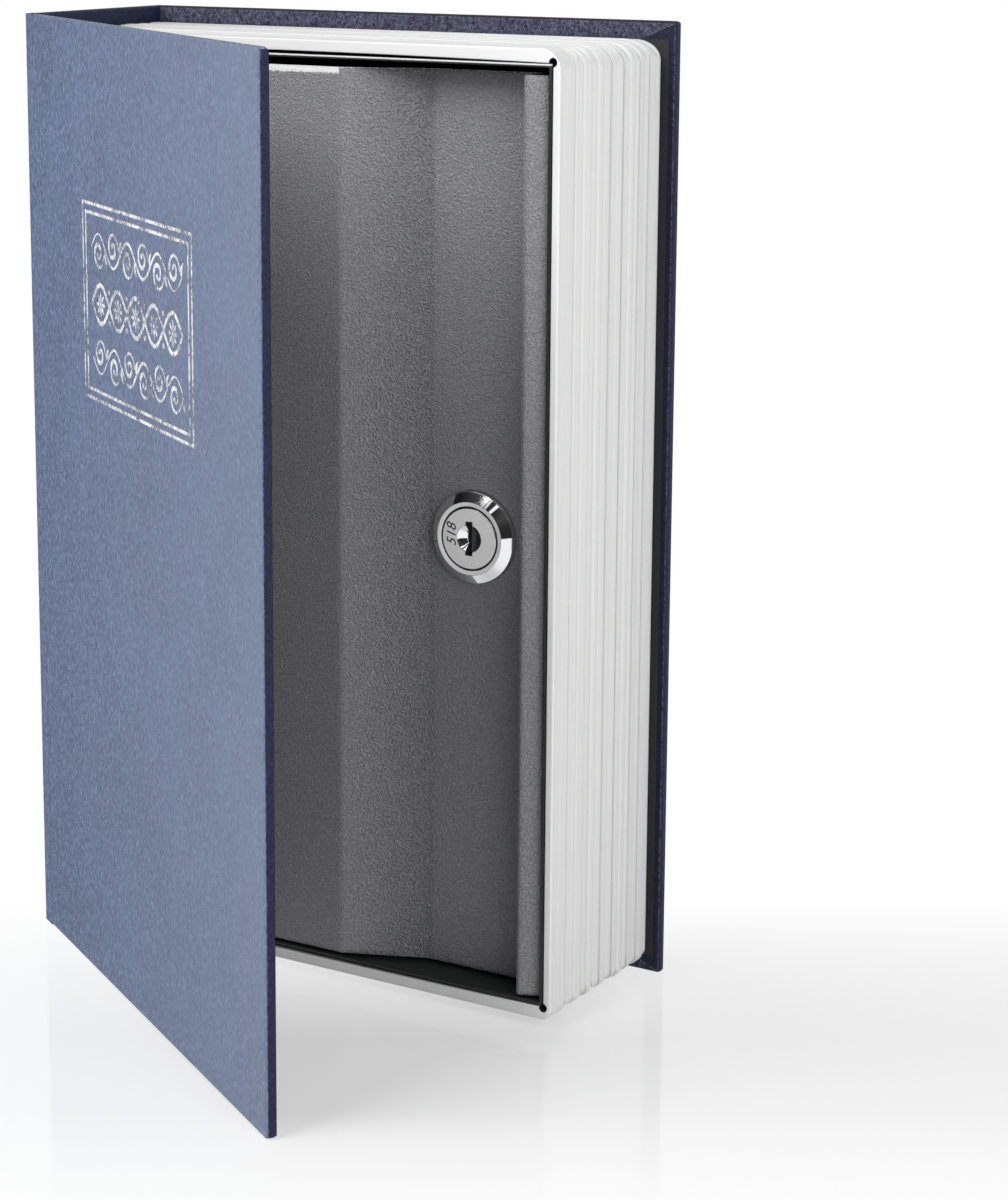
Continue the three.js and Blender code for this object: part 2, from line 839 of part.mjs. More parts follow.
const door = new THREE.Group();
door.add(meshOf('door_panel', doorPanel(), doorMaterial()));
const lock = new THREE.Group();
lock.position.set(lockX, recessY, lockHeight);
lock.add(meshOf('lock_body', lockBody(), chromeMaterial()));
lock.add(meshOf('lock_washer', lockWasher(), zincMaterial()));
lock.add(meshOf('lock_nut', lockNut(), zincMaterial()));
lock.add(meshOf('lock_plug', lockPlug(), chromeMaterial()));
lock.add(meshOf('keyway_shutter', keywayShutter(), zincMaterial()));
lock.add(meshOf('lock_cam', lockCam(), zincMaterial()));
lock.add(meshOf('cam_washer', camWasher(), zincMaterial()));
lock.add(meshOf('cam_screw', camScrew(), zincMaterial()));
door.add(lock);
book.add(door);

export default book;
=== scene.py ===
"""A book safe's looks: cloth case, moulded pages, painted steel tray and door, and a chrome cam lock."""

import json
import math
import random

import bmesh
import bpy
from mathutils import Matrix, Vector


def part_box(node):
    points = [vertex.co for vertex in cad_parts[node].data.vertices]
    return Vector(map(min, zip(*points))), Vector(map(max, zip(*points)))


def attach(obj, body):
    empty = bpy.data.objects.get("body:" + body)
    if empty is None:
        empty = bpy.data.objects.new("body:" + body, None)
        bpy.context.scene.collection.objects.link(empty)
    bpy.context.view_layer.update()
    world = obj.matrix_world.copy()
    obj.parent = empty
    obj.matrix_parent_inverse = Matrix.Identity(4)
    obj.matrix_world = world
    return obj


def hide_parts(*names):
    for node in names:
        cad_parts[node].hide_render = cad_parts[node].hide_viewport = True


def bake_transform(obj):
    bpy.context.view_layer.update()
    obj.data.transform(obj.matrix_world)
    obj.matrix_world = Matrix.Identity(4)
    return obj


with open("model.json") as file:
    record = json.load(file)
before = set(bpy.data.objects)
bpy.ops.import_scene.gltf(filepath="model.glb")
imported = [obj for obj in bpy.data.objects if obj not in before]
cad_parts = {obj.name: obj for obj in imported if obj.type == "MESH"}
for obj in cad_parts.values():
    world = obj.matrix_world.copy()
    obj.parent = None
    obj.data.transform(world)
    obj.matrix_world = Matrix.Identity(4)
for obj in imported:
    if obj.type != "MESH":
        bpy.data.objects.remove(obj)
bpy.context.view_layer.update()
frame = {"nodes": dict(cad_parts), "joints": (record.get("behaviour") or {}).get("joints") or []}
nodes = frame["nodes"]
joint_places = {joint["name"]: Vector(joint["pos_m"]) for joint in frame["joints"]}

# Sizes of the case, in metres
CLOTH = 0.00035
EDGE_THICKNESS = 0.0025
EDGE_ROUND = 0.00075
COVER_CORNER = 0.0012
CASE_CORNER = 0.0005
SPINE_CORNER = 0.0012
INNER_CORNER = 0.0003
SPINE_END_GAP = 0.0009
TURN_IN = 0.012
FLAP_RISE = 0.00016
FLAP_INSET = 0.0004
FLAP_HEAD_INSET = 0.0006
FLAP_MITRE = 0.0056
FOLD_BEND = 0.0007
FOLD_LAP = 0.0021
SPINE_LAP = 0.003
SEAM_LAP = 0.0004
SKIN_PROUD = 0.00002
BOARD_GAP = 0.0005
LINER_MARGIN = 0.004
LINER_RISE = 0.00034
LINER_SINK = 0.00022
LINER_STEP = 0.0012
LINER_WAVE = 0.00003
LINER_STOPS = 24
STEP_STOPS = 4
BACK_PAPER_MARGIN = Vector((0.0019, 0.0044))
PAPER_ROUND = 0.00008
FOLD_STEPS = 12
TRAY_ROUND = 0.00015
DOOR_ROUND = 0.00018
ZINC_ROUND = 0.0001

# The looks of a cover's cloth, in the order of its materials: copies of one cloth, each lighter or darker by
# the way its faces turn to the light, as painted light and shade
OUTER, TURNED, FLAP, EDGE, END = range(5)
OUTWARD_SHARE = 0.6
ENDWARD_SHARE = 0.3

# Sizes of the pages
PAGE_CORNER = 0.005
PAGE_CORNER_REACH = 0.0085
PAGE_TAIL_CORNER = 0.0025
PAGE_STAGGER = 0.003
PAGE_EDGE_ROUND = 0.0004
PAGE_MOUTH_ROUND = 0.0003
PAGE_GROOVE = 0.00065
PAGE_GROOVE_WIDTH = 0.0009
LEAF_PITCH = 0.0008
LEAF_DEPTH = 0.00012
LEAF_CREASE = 0.00012
PAGE_WALL = 0.0031
PAGE_FORE_WALL = 0.0019
PAGE_SPINE_WALL = 0.003
PAGE_RELIEF_RADIUS = 0.0011
PAGE_RELIEF_DEPTH = 0.003
PAGE_MOUTH_BOW = 0.0006
PAGE_CORNER_WAVE = 0.0013
PAGE_CORNER_CALM = 0.08
PAGE_CORNER_PITCH = Vector((0.0067, 0.0028))
PAGE_SHADE_REACH = 0.0012
PAGE_TAIL_STAGGER = 0.0024
PAGE_GLOW = 0.001
CUT_OVERRUN = 0.001

# Bundles of pages: the share of the thickness where each ends, how far it stands back and the
# depth of the groove after it, both as shares of the groove depth
BUNDLE_SHARES = [
    (0.155, 0, 0.8),
    (0.235, 0.2, 0.45),
    (0.317, 0.1, 0.9),
    (0.372, 0.3, 0.5),
    (0.427, 0.05, 1),
    (0.502, 0.25, 0.85),
    (0.563, 0.1, 0.45),
    (0.627, 0.3, 1),
    (0.684, 0.15, 0.5),
    (0.744, 0, 0.75),
    (0.79, 0.25, 0.9),
    (0.838, 0.1, 0.45),
    (0.889, 0.35, 0.85),
    (0.968, 0.1, 0.9),
    (1, 0.4, 0),
]

# The paint: painted shade where another piece is near, the soft bends, and painted highlights along the top
# edges and the lip's bend
PAINT_SHADE_REACH = 0.0006
BEND_ROUND = 0.002
HIGHLIGHT_COLOUR = (0.82, 0.82, 0.82)
HIGHLIGHT_LINE = 0.0002
HIGHLIGHT_WIDE = 0.0016
HIGHLIGHT_RAGGED = 0.0014
HIGHLIGHT_BLUR = 0.0002
TRAY_EDGE = 0.0004
LIP_CREST = 0.0062
SLOPE_SPAN = (0.0915, 0.1121)
SLOPE_GRAIN = (0.7, 2.5)
TRAY_GRAIN = 0.25

# How high the grain of each material stands
CLOTH_BUMP = 0.00018
PAPER_BUMP = 0.00006
BOARD_BUMP = 0.0001
PAGE_BUMP = 0.00008
HAMMER_BUMP = 0.0004
DUST_BUMP = 0.00002
CHROME_BUMP = 0.00005
SATIN_BUMP = 0.00004
ZINC_BUMP = 0.00003
FOIL_BUMP = 0.00008

# Sizes of the foil stamped on the front cover
FOIL_LEFT = 0.0423
FOIL_RIGHT = 0.1167
FOIL_LOW = 0.1492
FOIL_HIGH = 0.1968
FOIL_LINE = 0.00078
FOIL_PITCH = 0.0022
FOIL_PROUD = 0.00003

# The ornament inside the frame: an interlaced row between two running scrolls
ORNAMENT_WIDTH = 0.062
ORNAMENT_ROW = 0.0134
SCROLL_COUNT = 6
SCROLL_RISE = 0.0036
EYE_COUNT = 5
EYE_RISE = 0.0047
PETAL_COUNT = 8
PETAL_LENGTH = 0.0025
STROKE = 0.00105
STROKE_STEM = 0.0008
STROKE_END = 0.00035
VOLUTE_STEPS = 36
VOLUTE_SHRINK = 0.8
VOLUTE_SHARE = 0.37
VOLUTE_TURN = math.radians(500)
LEAF_STEPS = 10
LEAF_SHARE = 0.36
LEAF_BELLY = 0.8
LEAF_TURN = math.radians(120)
LEAF_CURL = math.radians(50)
DOT_SHARE = 0.6
DOT_STEPS = 10

# The widths and reaches of leaves, petals and dots, as shares of the stroke
LEAF_WIDE_SHARE = 1.2
PETAL_WIDE_SHARE = 0.9
PETAL_ROOT_SHARE = 0.7
ROSETTE_DOT_SHARE = 0.55
ROW_DOT_SHARE = 0.8

# How far the cloth turns to its lighter colour at the front cover's fore-edge
CLOTH_FORE_EDGE_SHARE = 0.45

# Sizes of the lock, out and in from the front of the recess
LOCK_STEPS = 96
BEZEL_RADIUS = 0.01125
BEZEL_FACE_RADIUS = 0.0091
BEZEL_HEIGHT = 0.0031
BEZEL_RIM = 0.0014
BEZEL_ROUND = 0.00016
LOCK_SEAT = 0.0001
BARREL_RADIUS = 0.009
BARREL_FLAT = 0.016
BARREL_LENGTH = 0.0154
FACE_BORE = 0.0079
SHANK_BORE = 0.0063
PLUG_RADIUS = 0.00755
PLUG_CHAMFER = 0.00022
PLUG_DEPTH = 0.0022
PLUG_GAP = 0.0003
PLUG_SHANK = 0.006
PLUG_SQUARE = 0.007
PLUG_END = 0.0176
SCREW_HOLE = 0.0023
SCREW_DEPTH = 0.006
DISH_RADIUS = 0.0033
DISH_FLOOR = 0.0015
DISH_DEPTH = 0.0018
KEYWAY_HEIGHT = 0.0084
KEYWAY_WIDTH = 0.002
KEYWAY_DEPTH = 0.008
THREAD_PITCH = 0.001
THREAD_WAVES = 0.314

# The lock's stamped number
NUMBER = "518"
NUMBER_SIZE = 0.0037
NUMBER_OFFSET = 0.0048
NUMBER_RISE = 0.0005
NUMBER_SHEAR = 0.3
NUMBER_PROUD = 0.00002

# The room and the camera
FLOOR_SIZE = 12
FLOOR_GLOW = (0.45, 1.0)
FLOOR_BACK = (-0.105, -0.01)
FLOOR_FRONT = (-0.15, -0.215)
FLOOR_SIDES = (0.05, 0.24, 0.6)
ROOM_LIGHT = 0.19
LAMPS = [
    ("key", (-0.35, -0.95, 1.15), (0.06, -0.03, 0.14), (0.8, 0.8), 14.7),
    ("side", (1.35, -0.55, 0.42), (0.1, 0, 0.12), (0.9, 1.0), 6.6),
    ("side_high", (1.1, -0.9, 1.0), (0.1, 0, 0.12), (0.8, 0.8), 6.3),
    ("left", (-1.3, -0.7, 0.7), (0.08, 0, 0.12), (1.0, 1.0), 2.6),
    ("low_front", (-0.3, -1.6, 0.35), (0.08, 0, 0.12), (1.0, 0.6), 3.8),
]
CARD_AWAY = 1.2
CARD_WIDTH = 1.1
CARDS = [
    ("card_high", (0.06, -0.655, 0.754), (0.19, -0.69, 0.7)),
    ("card_low", (0.26, -0.705, 0.65), (0.66, -0.73, -0.14)),
]
CAMERA_PLACE = (0.48976, -0.62024, 0.27664)
CAMERA_YAW = math.radians(32.893)
CAMERA_PITCH = math.radians(11.142)
CAMERA_LENS = 90.0
CAMERA_SENSOR = 36
CAMERA_SHIFT = (0.1, -0.12)

# Round stretches
ROUND_STEPS = 5
CORNER_STEPS = 6
PAGE_CORNER_STEPS = 14
MOUTH_STEPS = 16
WELD = 1e-6
EDGE_STEPS = 2
FLAT_ANGLE = math.radians(0.5)
FLAT_WEIGHT = 100
SHADE_SAMPLES = 6
BEVEL_ANGLE = math.radians(35)
SHARP_ANGLE = math.radians(50)

# Places from the frame
case_low, case_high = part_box("case_cloth")
page_low, page_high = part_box("page_block")
height = case_high.z
spine_x = case_low.x
fore_x = case_high.x
back_y = case_high.y
front_y = -back_y
cover_width = fore_x - spine_x
lock_axis = joint_places["lock_turn"]
lock_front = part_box("lock_body")[0].y + BEZEL_HEIGHT
spine_corner = joint_places["cover_close"].xy
crease = joint_places["cover_open"].xy
fold_width = (crease - spine_corner).length
cover_along = (crease - spine_corner) / fold_width
cover_inward = Vector((-cover_along.y, cover_along.x))


def front_place(u, v, z):
    """A point on the front cover: u from the spine's corner, v in from its outer face."""
    place = spine_corner + cover_along * u + cover_inward * v
    return Vector((place.x, place.y, z))


def back_place(u, v, z):
    """A point on the back cover: u from the spine's corner, v in from its outer face."""
    return Vector((spine_x + u, back_y - v, z))


def plain_place(x, y, z):
    return Vector((x, y, z))


# Outlines
def toward(angle):
    return Vector((math.cos(angle), math.sin(angle)))


def arc(centre, radius, start, end, steps):
    angles = [start + (end - start) * i / steps for i in range(steps + 1)]
    return [centre + toward(angle) * radius for angle in angles]


def rectangle(x0, x1, y0, y1):
    return [Vector((x0, y0)), Vector((x1, y0)), Vector((x1, y1)), Vector((x0, y1))]


def rounded_outline(corners, radii, inset, steps):
    """A right-angled outline, anticlockwise, moved in by inset, with its corners round."""
    points = []
    for i, corner in enumerate(corners):
        here = Vector(corner)
        into = (here - Vector(corners[i - 1])).normalized()
        out = (Vector(corners[(i + 1) % len(corners)]) - here).normalized()
        side = math.copysign(1, into.x * out.y - into.y * out.x)
        moved = here + (Vector((-into.y, into.x)) + Vector((-out.y, out.x))) * inset
        radius = max(radii[i] - inset * side, WELD)
        centre = moved + (out - into) * radius
        start = math.atan2(-out.y, -out.x)
        points += arc(centre, radius, start, start + side * math.pi / 2, steps)
    return points


def bend_path(corners, radius, steps):
    """Corner points joined by straight runs and bends of one radius."""
    path = [corners[0]]
    for i in range(1, len(corners) - 1):
        into = (corners[i] - corners[i - 1]).normalized()
        out = (corners[i + 1] - corners[i]).normalized()
        turn = math.atan2(into.x * out.y - into.y * out.x, into.dot(out))
        start_point = corners[i] - into * radius * math.tan(abs(turn) / 2)
        to_centre = Vector((-into.y, into.x)) * math.copysign(radius, turn)
        start = math.atan2(-to_centre.y, -to_centre.x)
        path += arc(start_point + to_centre, radius, start, start + turn, steps)
    path.append(corners[-1])
    return path


def sheet_outline(path, thickness):
    """The outline of a sheet of one thickness about its middle line."""
    left, right = [], []
    for i, point in enumerate(path):
        into = (point - path[max(i - 1, 0)]).normalized()
        out = (path[min(i + 1, len(path) - 1)] - point).normalized()
        run = (into + out).normalized()
        lean = abs(run.dot(out)) if 0 < i < len(path) - 1 else 1
        normal = Vector((-run.y, run.x)) * thickness / 2 / lean
        left.append(point + normal)
        right.append(point - normal)
    return left + right[::-1]


def fillet(distance, radius):
    """How far a round edge stands back, at a distance in from its end."""
    if distance >= radius:
        return 0
    return radius - math.sqrt(radius**2 - (radius - distance) ** 2)


def edge_rises(radius):
    """Distances in from an end, close enough together for a round edge."""
    return [radius * (1 - math.cos(math.pi / 2 * i / ROUND_STEPS)) for i in range(ROUND_STEPS + 1)]


def end_levels(low, high, radius):
    """Levels from one round edge to the other, each with its distance from the end."""
    rises = edge_rises(radius)
    return [(low + rise, rise) for rise in rises] + [(high - rise, rise) for rise in reversed(rises)]


# Meshes
def link(name, data):
    """A new object in the scene."""
    made = bpy.data.objects.new(name, data)
    bpy.context.scene.collection.objects.link(made)
    return made


def weld(mesh):
    """Doubled points of a mesh become one, and its faces turn outward."""
    whole = bmesh.new()
    whole.from_mesh(mesh)
    bmesh.ops.remove_doubles(whole, verts=whole.verts, dist=WELD)
    bmesh.ops.recalc_face_normals(whole, faces=whole.faces)
    whole.to_mesh(mesh)
    whole.free()


def evaluated_mesh(made):
    """The mesh that an object has after its modifiers, or that a text spells."""
    graph = bpy.context.evaluated_depsgraph_get()
    return bpy.data.meshes.new_from_object(made.evaluated_get(graph))


def upright(points, y):
    """Points of (x, z) at one depth."""
    return [Vector((p.x, y, p.y)) for p in points]


class Shape:
    """Points and faces gathered from rings and grids, made into one object at the end."""

    def __init__(self):
        self.points = []
        self.faces = []
        self.looks = []

    def face(self, indices, look):
        self.faces.append(indices)
        self.looks.append(look)

    def turned(self, rings, looks):
        """A skin over rings, a look for each band. One more look joins the last ring to the first."""
        base = len(self.points)
        count = len(rings[0])
        for ring in rings:
            self.points += ring
        for r, look in enumerate(looks):
            here = base + r * count
            there = base + (r + 1) % len(rings) * count
            for i in range(count):
                k = (i + 1) % count
                self.face((here + i, here + k, there + k, there + i), look)

    def loft(self, rings, look=0):
        """A skin over rings, closed by a face at each end."""
        first = len(self.points)
        count = len(rings[0])
        self.turned(rings, [look] * (len(rings) - 1))
        last = len(self.points) - count
        self.face(tuple(range(first + count - 1, first - 1, -1)), look)
        self.face(tuple(range(last, last + count)), look)

    def sheet(self, rows, back_rows):
        """A grid of points closed by a second grid behind it."""
        high = len(rows)
        wide = len(rows[0])
        base = len(self.points)
        for row in rows + back_rows:
            self.points += row
        back = high * wide
        for r in range(high - 1):
            for i in range(wide - 1):
                a = base + r * wide + i
                quad = (a, a + 1, a + 1 + wide, a + wide)
                self.face(quad, 0)
                self.face(tuple(back + k for k in reversed(quad)), 0)
        border = [(0, i) for i in range(wide - 1)]
        border += [(r, wide - 1) for r in range(high - 1)]
        border += [(high - 1, i) for i in range(wide - 1, 0, -1)]
        border += [(r, 0) for r in range(high - 1, 0, -1)]
        ids = [base + r * wide + i for r, i in border]
        for a, b in zip(ids, ids[1:] + ids[:1]):
            self.face((b, a, a + back, b + back), 0)

    def build(self, name, materials):
        mesh = bpy.data.meshes.new(name)
        mesh.from_pydata(self.points, [], self.faces)
        for material in materials:
            mesh.materials.append(material)
        mesh.polygons.foreach_set("material_index", self.looks)
        weld(mesh)
        made = link(name, mesh)
        smooth(made)
        return made


def smooth(made):
    """Soft shading whose flat faces stay flat."""
    made.data.polygons.foreach_set("use_smooth", [True] * len(made.data.polygons))
    made.data.set_sharp_from_angle(angle=SHARP_ANGLE)
    weighted = made.modifiers.new("flat_faces", "WEIGHTED_NORMAL")
    weighted.weight = FLAT_WEIGHT
    weighted.keep_sharp = True


def place_piece(made, body, slot, *stands_for):
    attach(made, body)
    if stands_for:
        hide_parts(*stands_for)


def dress_node(name, material, edge_round=0):
    """A carried-over solid gets its material and small round edges."""
    node = nodes[name]
    node.data.materials.clear()
    node.data.materials.append(material)
    weld = node.modifiers.new("weld", "WELD")
    weld.merge_threshold = WELD
    flat = node.modifiers.new("flat", "DECIMATE")
    flat.decimate_type = "DISSOLVE"
    flat.angle_limit = FLAT_ANGLE
    if edge_round:
        bevel = node.modifiers.new("edges", "BEVEL")
        bevel.width = edge_round
        bevel.segments = EDGE_STEPS
        bevel.limit_method = "ANGLE"
        bevel.angle_limit = BEVEL_ANGLE
        bevel.harden_normals = False
    smooth(node)


# Materials
class Nodes:
    """The node tree of one material, or of the world."""

    def __init__(self, name, kind="materials", shader="Principled BSDF"):
        self.owner = getattr(bpy.data, kind).new(name)
        self.owner.use_nodes = True
        self.tree = self.owner.node_tree
        self.shader = self.tree.nodes[shader]

    def add(self, kind, inputs=(), output=0, **settings):
        node = self.tree.nodes.new("ShaderNode" + kind)
        for name, value in settings.items():
            setattr(node, name, value)
        for name, value in dict(inputs).items():
            self.put(node.inputs[name], value)
        return node.outputs[output]

    def put(self, socket, value):
        if isinstance(value, bpy.types.NodeSocket):
            self.tree.links.new(value, socket)
        else:
            socket.default_value = value

    def set(self, **inputs):
        for name, value in inputs.items():
            self.put(self.shader.inputs[name.replace("_", " ")], value)

    def mix_in(self, factor, other):
        """The shader gives way to another one by a factor."""
        surface = self.shader.outputs[0].links[0].to_socket
        self.put(surface, self.add("MixShader", {0: factor, 1: self.shader.outputs[0], 2: other}))

    def place(self):
        return self.add("TexCoord", output=3)

    def along(self, direction):
        return self.add("VectorMath", {0: self.place(), 1: direction}, output=1, operation="DOT_PRODUCT")

    def stretched(self, scale, shift=(0, 0, 0)):
        """Places scaled up for a pattern, with one scale or one for each axis."""
        scales = scale if isinstance(scale, tuple) else (scale,) * 3
        return self.add("Mapping", {"Vector": self.place(), "Scale": scales, "Location": shift})

    def noise(self, scale, detail=2.0, roughness=0.55, distortion=0.0, shift=(0, 0, 0)):
        return self.add("TexNoise", {
            "Vector": self.stretched(scale, shift),
            "Scale": 1.0,
            "Detail": detail,
            "Roughness": roughness,
            "Distortion": distortion,
        })

    def math(self, operation, *values):
        return self.add("Math", enumerate(values), operation=operation)

    def times(self, first, second):
        return self.math("MULTIPLY", first, second)

    def most(self, first, second):
        return self.math("MAXIMUM", first, second)

    def total(self, *parts):
        """Values added up, each times its weight."""
        weighted = [value if weight == 1 else self.times(value, weight) for value, weight in parts]
        made = weighted[0]
        for part in weighted[1:]:
            made = self.math("ADD", made, part)
        return made

    def ramp(self, factor, low, high, from_value=0.0, to_value=1.0):
        return self.add("MapRange", {
            "Value": factor,
            "From Min": low,
            "From Max": high,
            "To Min": from_value,
            "To Max": to_value,
        })

    def blend(self, factor, first, second):
        colours = [(*colour, 1) if isinstance(colour, tuple) else colour for colour in (first, second)]
        inputs = {"Factor": factor, 6: colours[0], 7: colours[1]}
        return self.add("Mix", inputs, output=2, data_type="RGBA")

    def open_sky(self, reach):
        """How open a place is: less where another face is near."""
        return self.add("AmbientOcclusion", {"Distance": reach}, output=1, samples=SHADE_SAMPLES)

    def bump(self, level, strength, distance, normal=None):
        inputs = {"Height": level, "Strength": strength, "Distance": distance}
        if normal is not None:
            inputs["Normal"] = normal
        return self.add("Bump", inputs)


def fore_edge_share(n):
    """A share from none at the spine to all at the front cover's fore-edge."""
    start = spine_corner.dot(cover_along)
    return n.ramp(n.along((cover_along.x, cover_along.y, 0)), start, start + cover_width)


def cloth_material(name, dark, light, streak, worn, sheen):
    """Book cloth: fine upright fibres over a slow mottling."""
    n = Nodes(name)
    fibres = n.noise((2000, 2000, 720), detail=3, distortion=0.3)
    grain = n.noise((1200, 1200, 620), shift=(3, 5, 7))
    mottle = n.noise((45, 45, 26), detail=3, shift=(1, 2, 3))
    mixed = n.total((fibres, 0.7), (grain, 0.2), (mottle, 0.2))
    base = n.blend(n.ramp(mixed, 0.45, 0.63), dark, light)
    threads = n.noise((760, 760, 420), distortion=2.2, shift=(5, 1, 9))
    ridge = n.math("ABSOLUTE", n.math("SUBTRACT", threads, 0.5))
    flecks = n.times(n.ramp(fibres, 0.56, 0.7), 0.5)
    veins = n.times(n.ramp(ridge, 0, 0.03, 1, 0), n.ramp(grain, 0.4, 0.6, 0.1, 0.85))
    flecked = n.blend(n.most(flecks, veins), base, streak)
    # Lighter toward the front cover's fore-edge, up to the colour given as worn
    n.set(Base_Color=n.blend(n.times(fore_edge_share(n), CLOTH_FORE_EDGE_SHARE), flecked, worn))
    n.set(Roughness=n.ramp(fibres, 0.3, 0.7, 0.72, 0.5))
    n.set(Normal=n.bump(n.total((fibres, 1), (veins, 0.6), (grain, 0.5)), 0.9, CLOTH_BUMP))
    n.set(Sheen_Weight=sheen, Sheen_Roughness=0.5, Specular_IOR_Level=0.35)
    return n.owner


def cloth_copy_material(name, dark, light):
    """A copy of the cloth creased like leather, lighter or darker for the way its faces turn: painted light
    and shade.
    """
    n = Nodes(name)
    creases = n.noise(1400, detail=4, roughness=0.65, distortion=1.2)
    fibres = n.noise((2000, 2000, 700), detail=3)
    mixed = n.total((creases, 0.7), (fibres, 0.3))
    n.set(Base_Color=n.blend(n.ramp(mixed, 0.43, 0.66), dark, light))
    n.set(Roughness=n.ramp(creases, 0.3, 0.7, 0.7, 0.5), Specular_IOR_Level=0.25)
    n.set(Normal=n.bump(mixed, 0.8, CLOTH_BUMP))
    return n.owner


def paper_material():
    n = Nodes("liner_paper")
    fibre = n.noise(1400, detail=5, roughness=0.7)
    mixed = n.total((fibre, 0.6), (n.noise(30), 0.4))
    n.set(Base_Color=n.blend(n.ramp(mixed, 0.35, 0.65), (0.006, 0.006, 0.01), (0.014, 0.014, 0.02)))
    n.set(Roughness=n.ramp(fibre, 0.3, 0.7, 0.85, 0.7), Normal=n.bump(fibre, 0.3, PAPER_BUMP))
    return n.owner


def speckled_material(name, dark, light, roughness, grain, span=(0.35, 0.65), metallic=0.0, relief=None):
    """A fine speckle of two colours: board, blasted or oiled metal, and near-black plastic as painted shade
    where no light reaches.
    """
    n = Nodes(name)
    speckle = n.noise(*grain)
    n.set(Base_Color=n.blend(n.ramp(speckle, *span), dark, light), Metallic=metallic, Roughness=roughness)
    if relief:
        n.set(Normal=n.bump(speckle, *relief))
    return n.owner


def satin_material(name, dark):
    """The blasted face of the lock."""
    return speckled_material(name, dark, (1.0, 1.0, 1.0), 0.32, (5200, 2, 0.6), relief=(0.3, SATIN_BUMP))


def page_material():
    """Satin white plastic with the fine lines of the page edges, and painted shade where faces are near."""
    n = Nodes("page_plastic")
    lines = n.noise((6, 3600, 6), detail=3, roughness=0.65)
    wide = n.noise((4, 700, 4), shift=(2, 1, 4))
    skin = n.noise(700)
    tone = n.total((lines, 0.5), (wide, 0.5))
    base = n.blend(n.ramp(tone, 0.35, 0.65), (0.78, 0.78, 0.78), (0.86, 0.86, 0.86))
    # Painted shade: grey where another face is near, in the grooves and creases
    shade = n.ramp(n.open_sky(PAGE_SHADE_REACH), 0.35, 0.9)
    n.set(Base_Color=n.blend(shade, (0.3, 0.3, 0.305), base))
    n.set(Roughness=n.ramp(skin, 0.3, 0.7, 0.42, 0.34))
    n.set(Normal=n.bump(n.total((lines, 0.8), (skin, 0.15)), 0.35, PAGE_BUMP))
    n.set(Subsurface_Weight=0.12, Subsurface_Radius=(1.0, 0.9, 0.8), Subsurface_Scale=PAGE_GLOW)
    return n.owner


def between(n, value, low, high, blur):
    """One between two levels, nought outside them."""
    return n.times(n.ramp(value, low - blur, low), n.ramp(value, high, high + blur, 1, 0))


def hammer_material(name, dark, light, depth, highlight_share):
    """Powder coat with a hammered skin: shallow round dimples of about a millimetre."""
    n = Nodes(name)
    places = {"Vector": n.stretched(1900), "Scale": 1.0, "Smoothness": 0.7}
    dimples = n.add("TexVoronoi", places, feature="SMOOTH_F1")
    pebbles = n.noise(2250, roughness=0.5, distortion=0.5)
    dust = n.noise(5200, detail=1)
    relief = n.total((dimples, 0.6), (pebbles, 1))
    coat = n.blend(n.ramp(relief, 0.55, 1.05), dark, light)
    # Painted shade: near-black where another face is near, round the lock, in the bends and at the joints
    shaded = n.blend(n.ramp(n.open_sky(PAINT_SHADE_REACH), 0.45, 0.85), (0.012, 0.012, 0.012), coat)
    # Near-white painted highlights along the top edges and the lip's bend, from the share given
    n.set(Base_Color=n.blend(highlight_share(n, pebbles), shaded, HIGHLIGHT_COLOUR))
    n.set(Roughness=n.ramp(pebbles, 0.35, 0.65, 0.5, 0.36), Specular_IOR_Level=0.5)
    bend = n.add("Bevel", {"Radius": BEND_ROUND}, samples=SHADE_SAMPLES)
    n.set(Normal=n.bump(relief, depth(n), HAMMER_BUMP, n.bump(dust, 0.12, DUST_BUMP, bend)))
    return n.owner


def door_grain(n):
    """How deep the door's skin is: flatter by the hinge, rough on the slope, fine in the recess."""
    across = n.add("SeparateXYZ", {"Vector": n.place()})
    fading = n.ramp(across, SLOPE_SPAN[1], SLOPE_SPAN[1] + HIGHLIGHT_WIDE, 1, 0.4)
    return n.times(n.ramp(across, *SLOPE_SPAN, *SLOPE_GRAIN), fading)


def door_highlight(n, pebbles):
    """Painted highlight at the door's head, widest on the flat by the hinge, and at the lip's bend."""
    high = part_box("door_panel")[1]
    parts = n.add("SeparateXYZ", {"Vector": n.place()}).node
    across = parts.outputs["X"]
    ragged = n.math("MULTIPLY_ADD", n.math("SUBTRACT", pebbles, 0.5), HIGHLIGHT_RAGGED, parts.outputs["Z"])
    line = n.ramp(ragged, high.z - HIGHLIGHT_LINE, high.z - HIGHLIGHT_LINE + HIGHLIGHT_BLUR)
    wide = n.ramp(ragged, high.z - HIGHLIGHT_WIDE, high.z - HIGHLIGHT_WIDE + HIGHLIGHT_BLUR)
    flat = n.ramp(across, SLOPE_SPAN[0] - HIGHLIGHT_BLUR, SLOPE_SPAN[0], 1, 0)
    crest = high.x - LIP_CREST
    line = n.times(line, n.ramp(across, crest - HIGHLIGHT_BLUR, crest, 0.9, 0.15))
    bend = between(n, across, crest, crest + HIGHLIGHT_BLUR, HIGHLIGHT_BLUR / 2)
    bend = n.times(bend, n.ramp(pebbles, 0.42, 0.62, 0.1, 0.55))
    return n.most(n.most(line, bend), n.times(wide, flat))


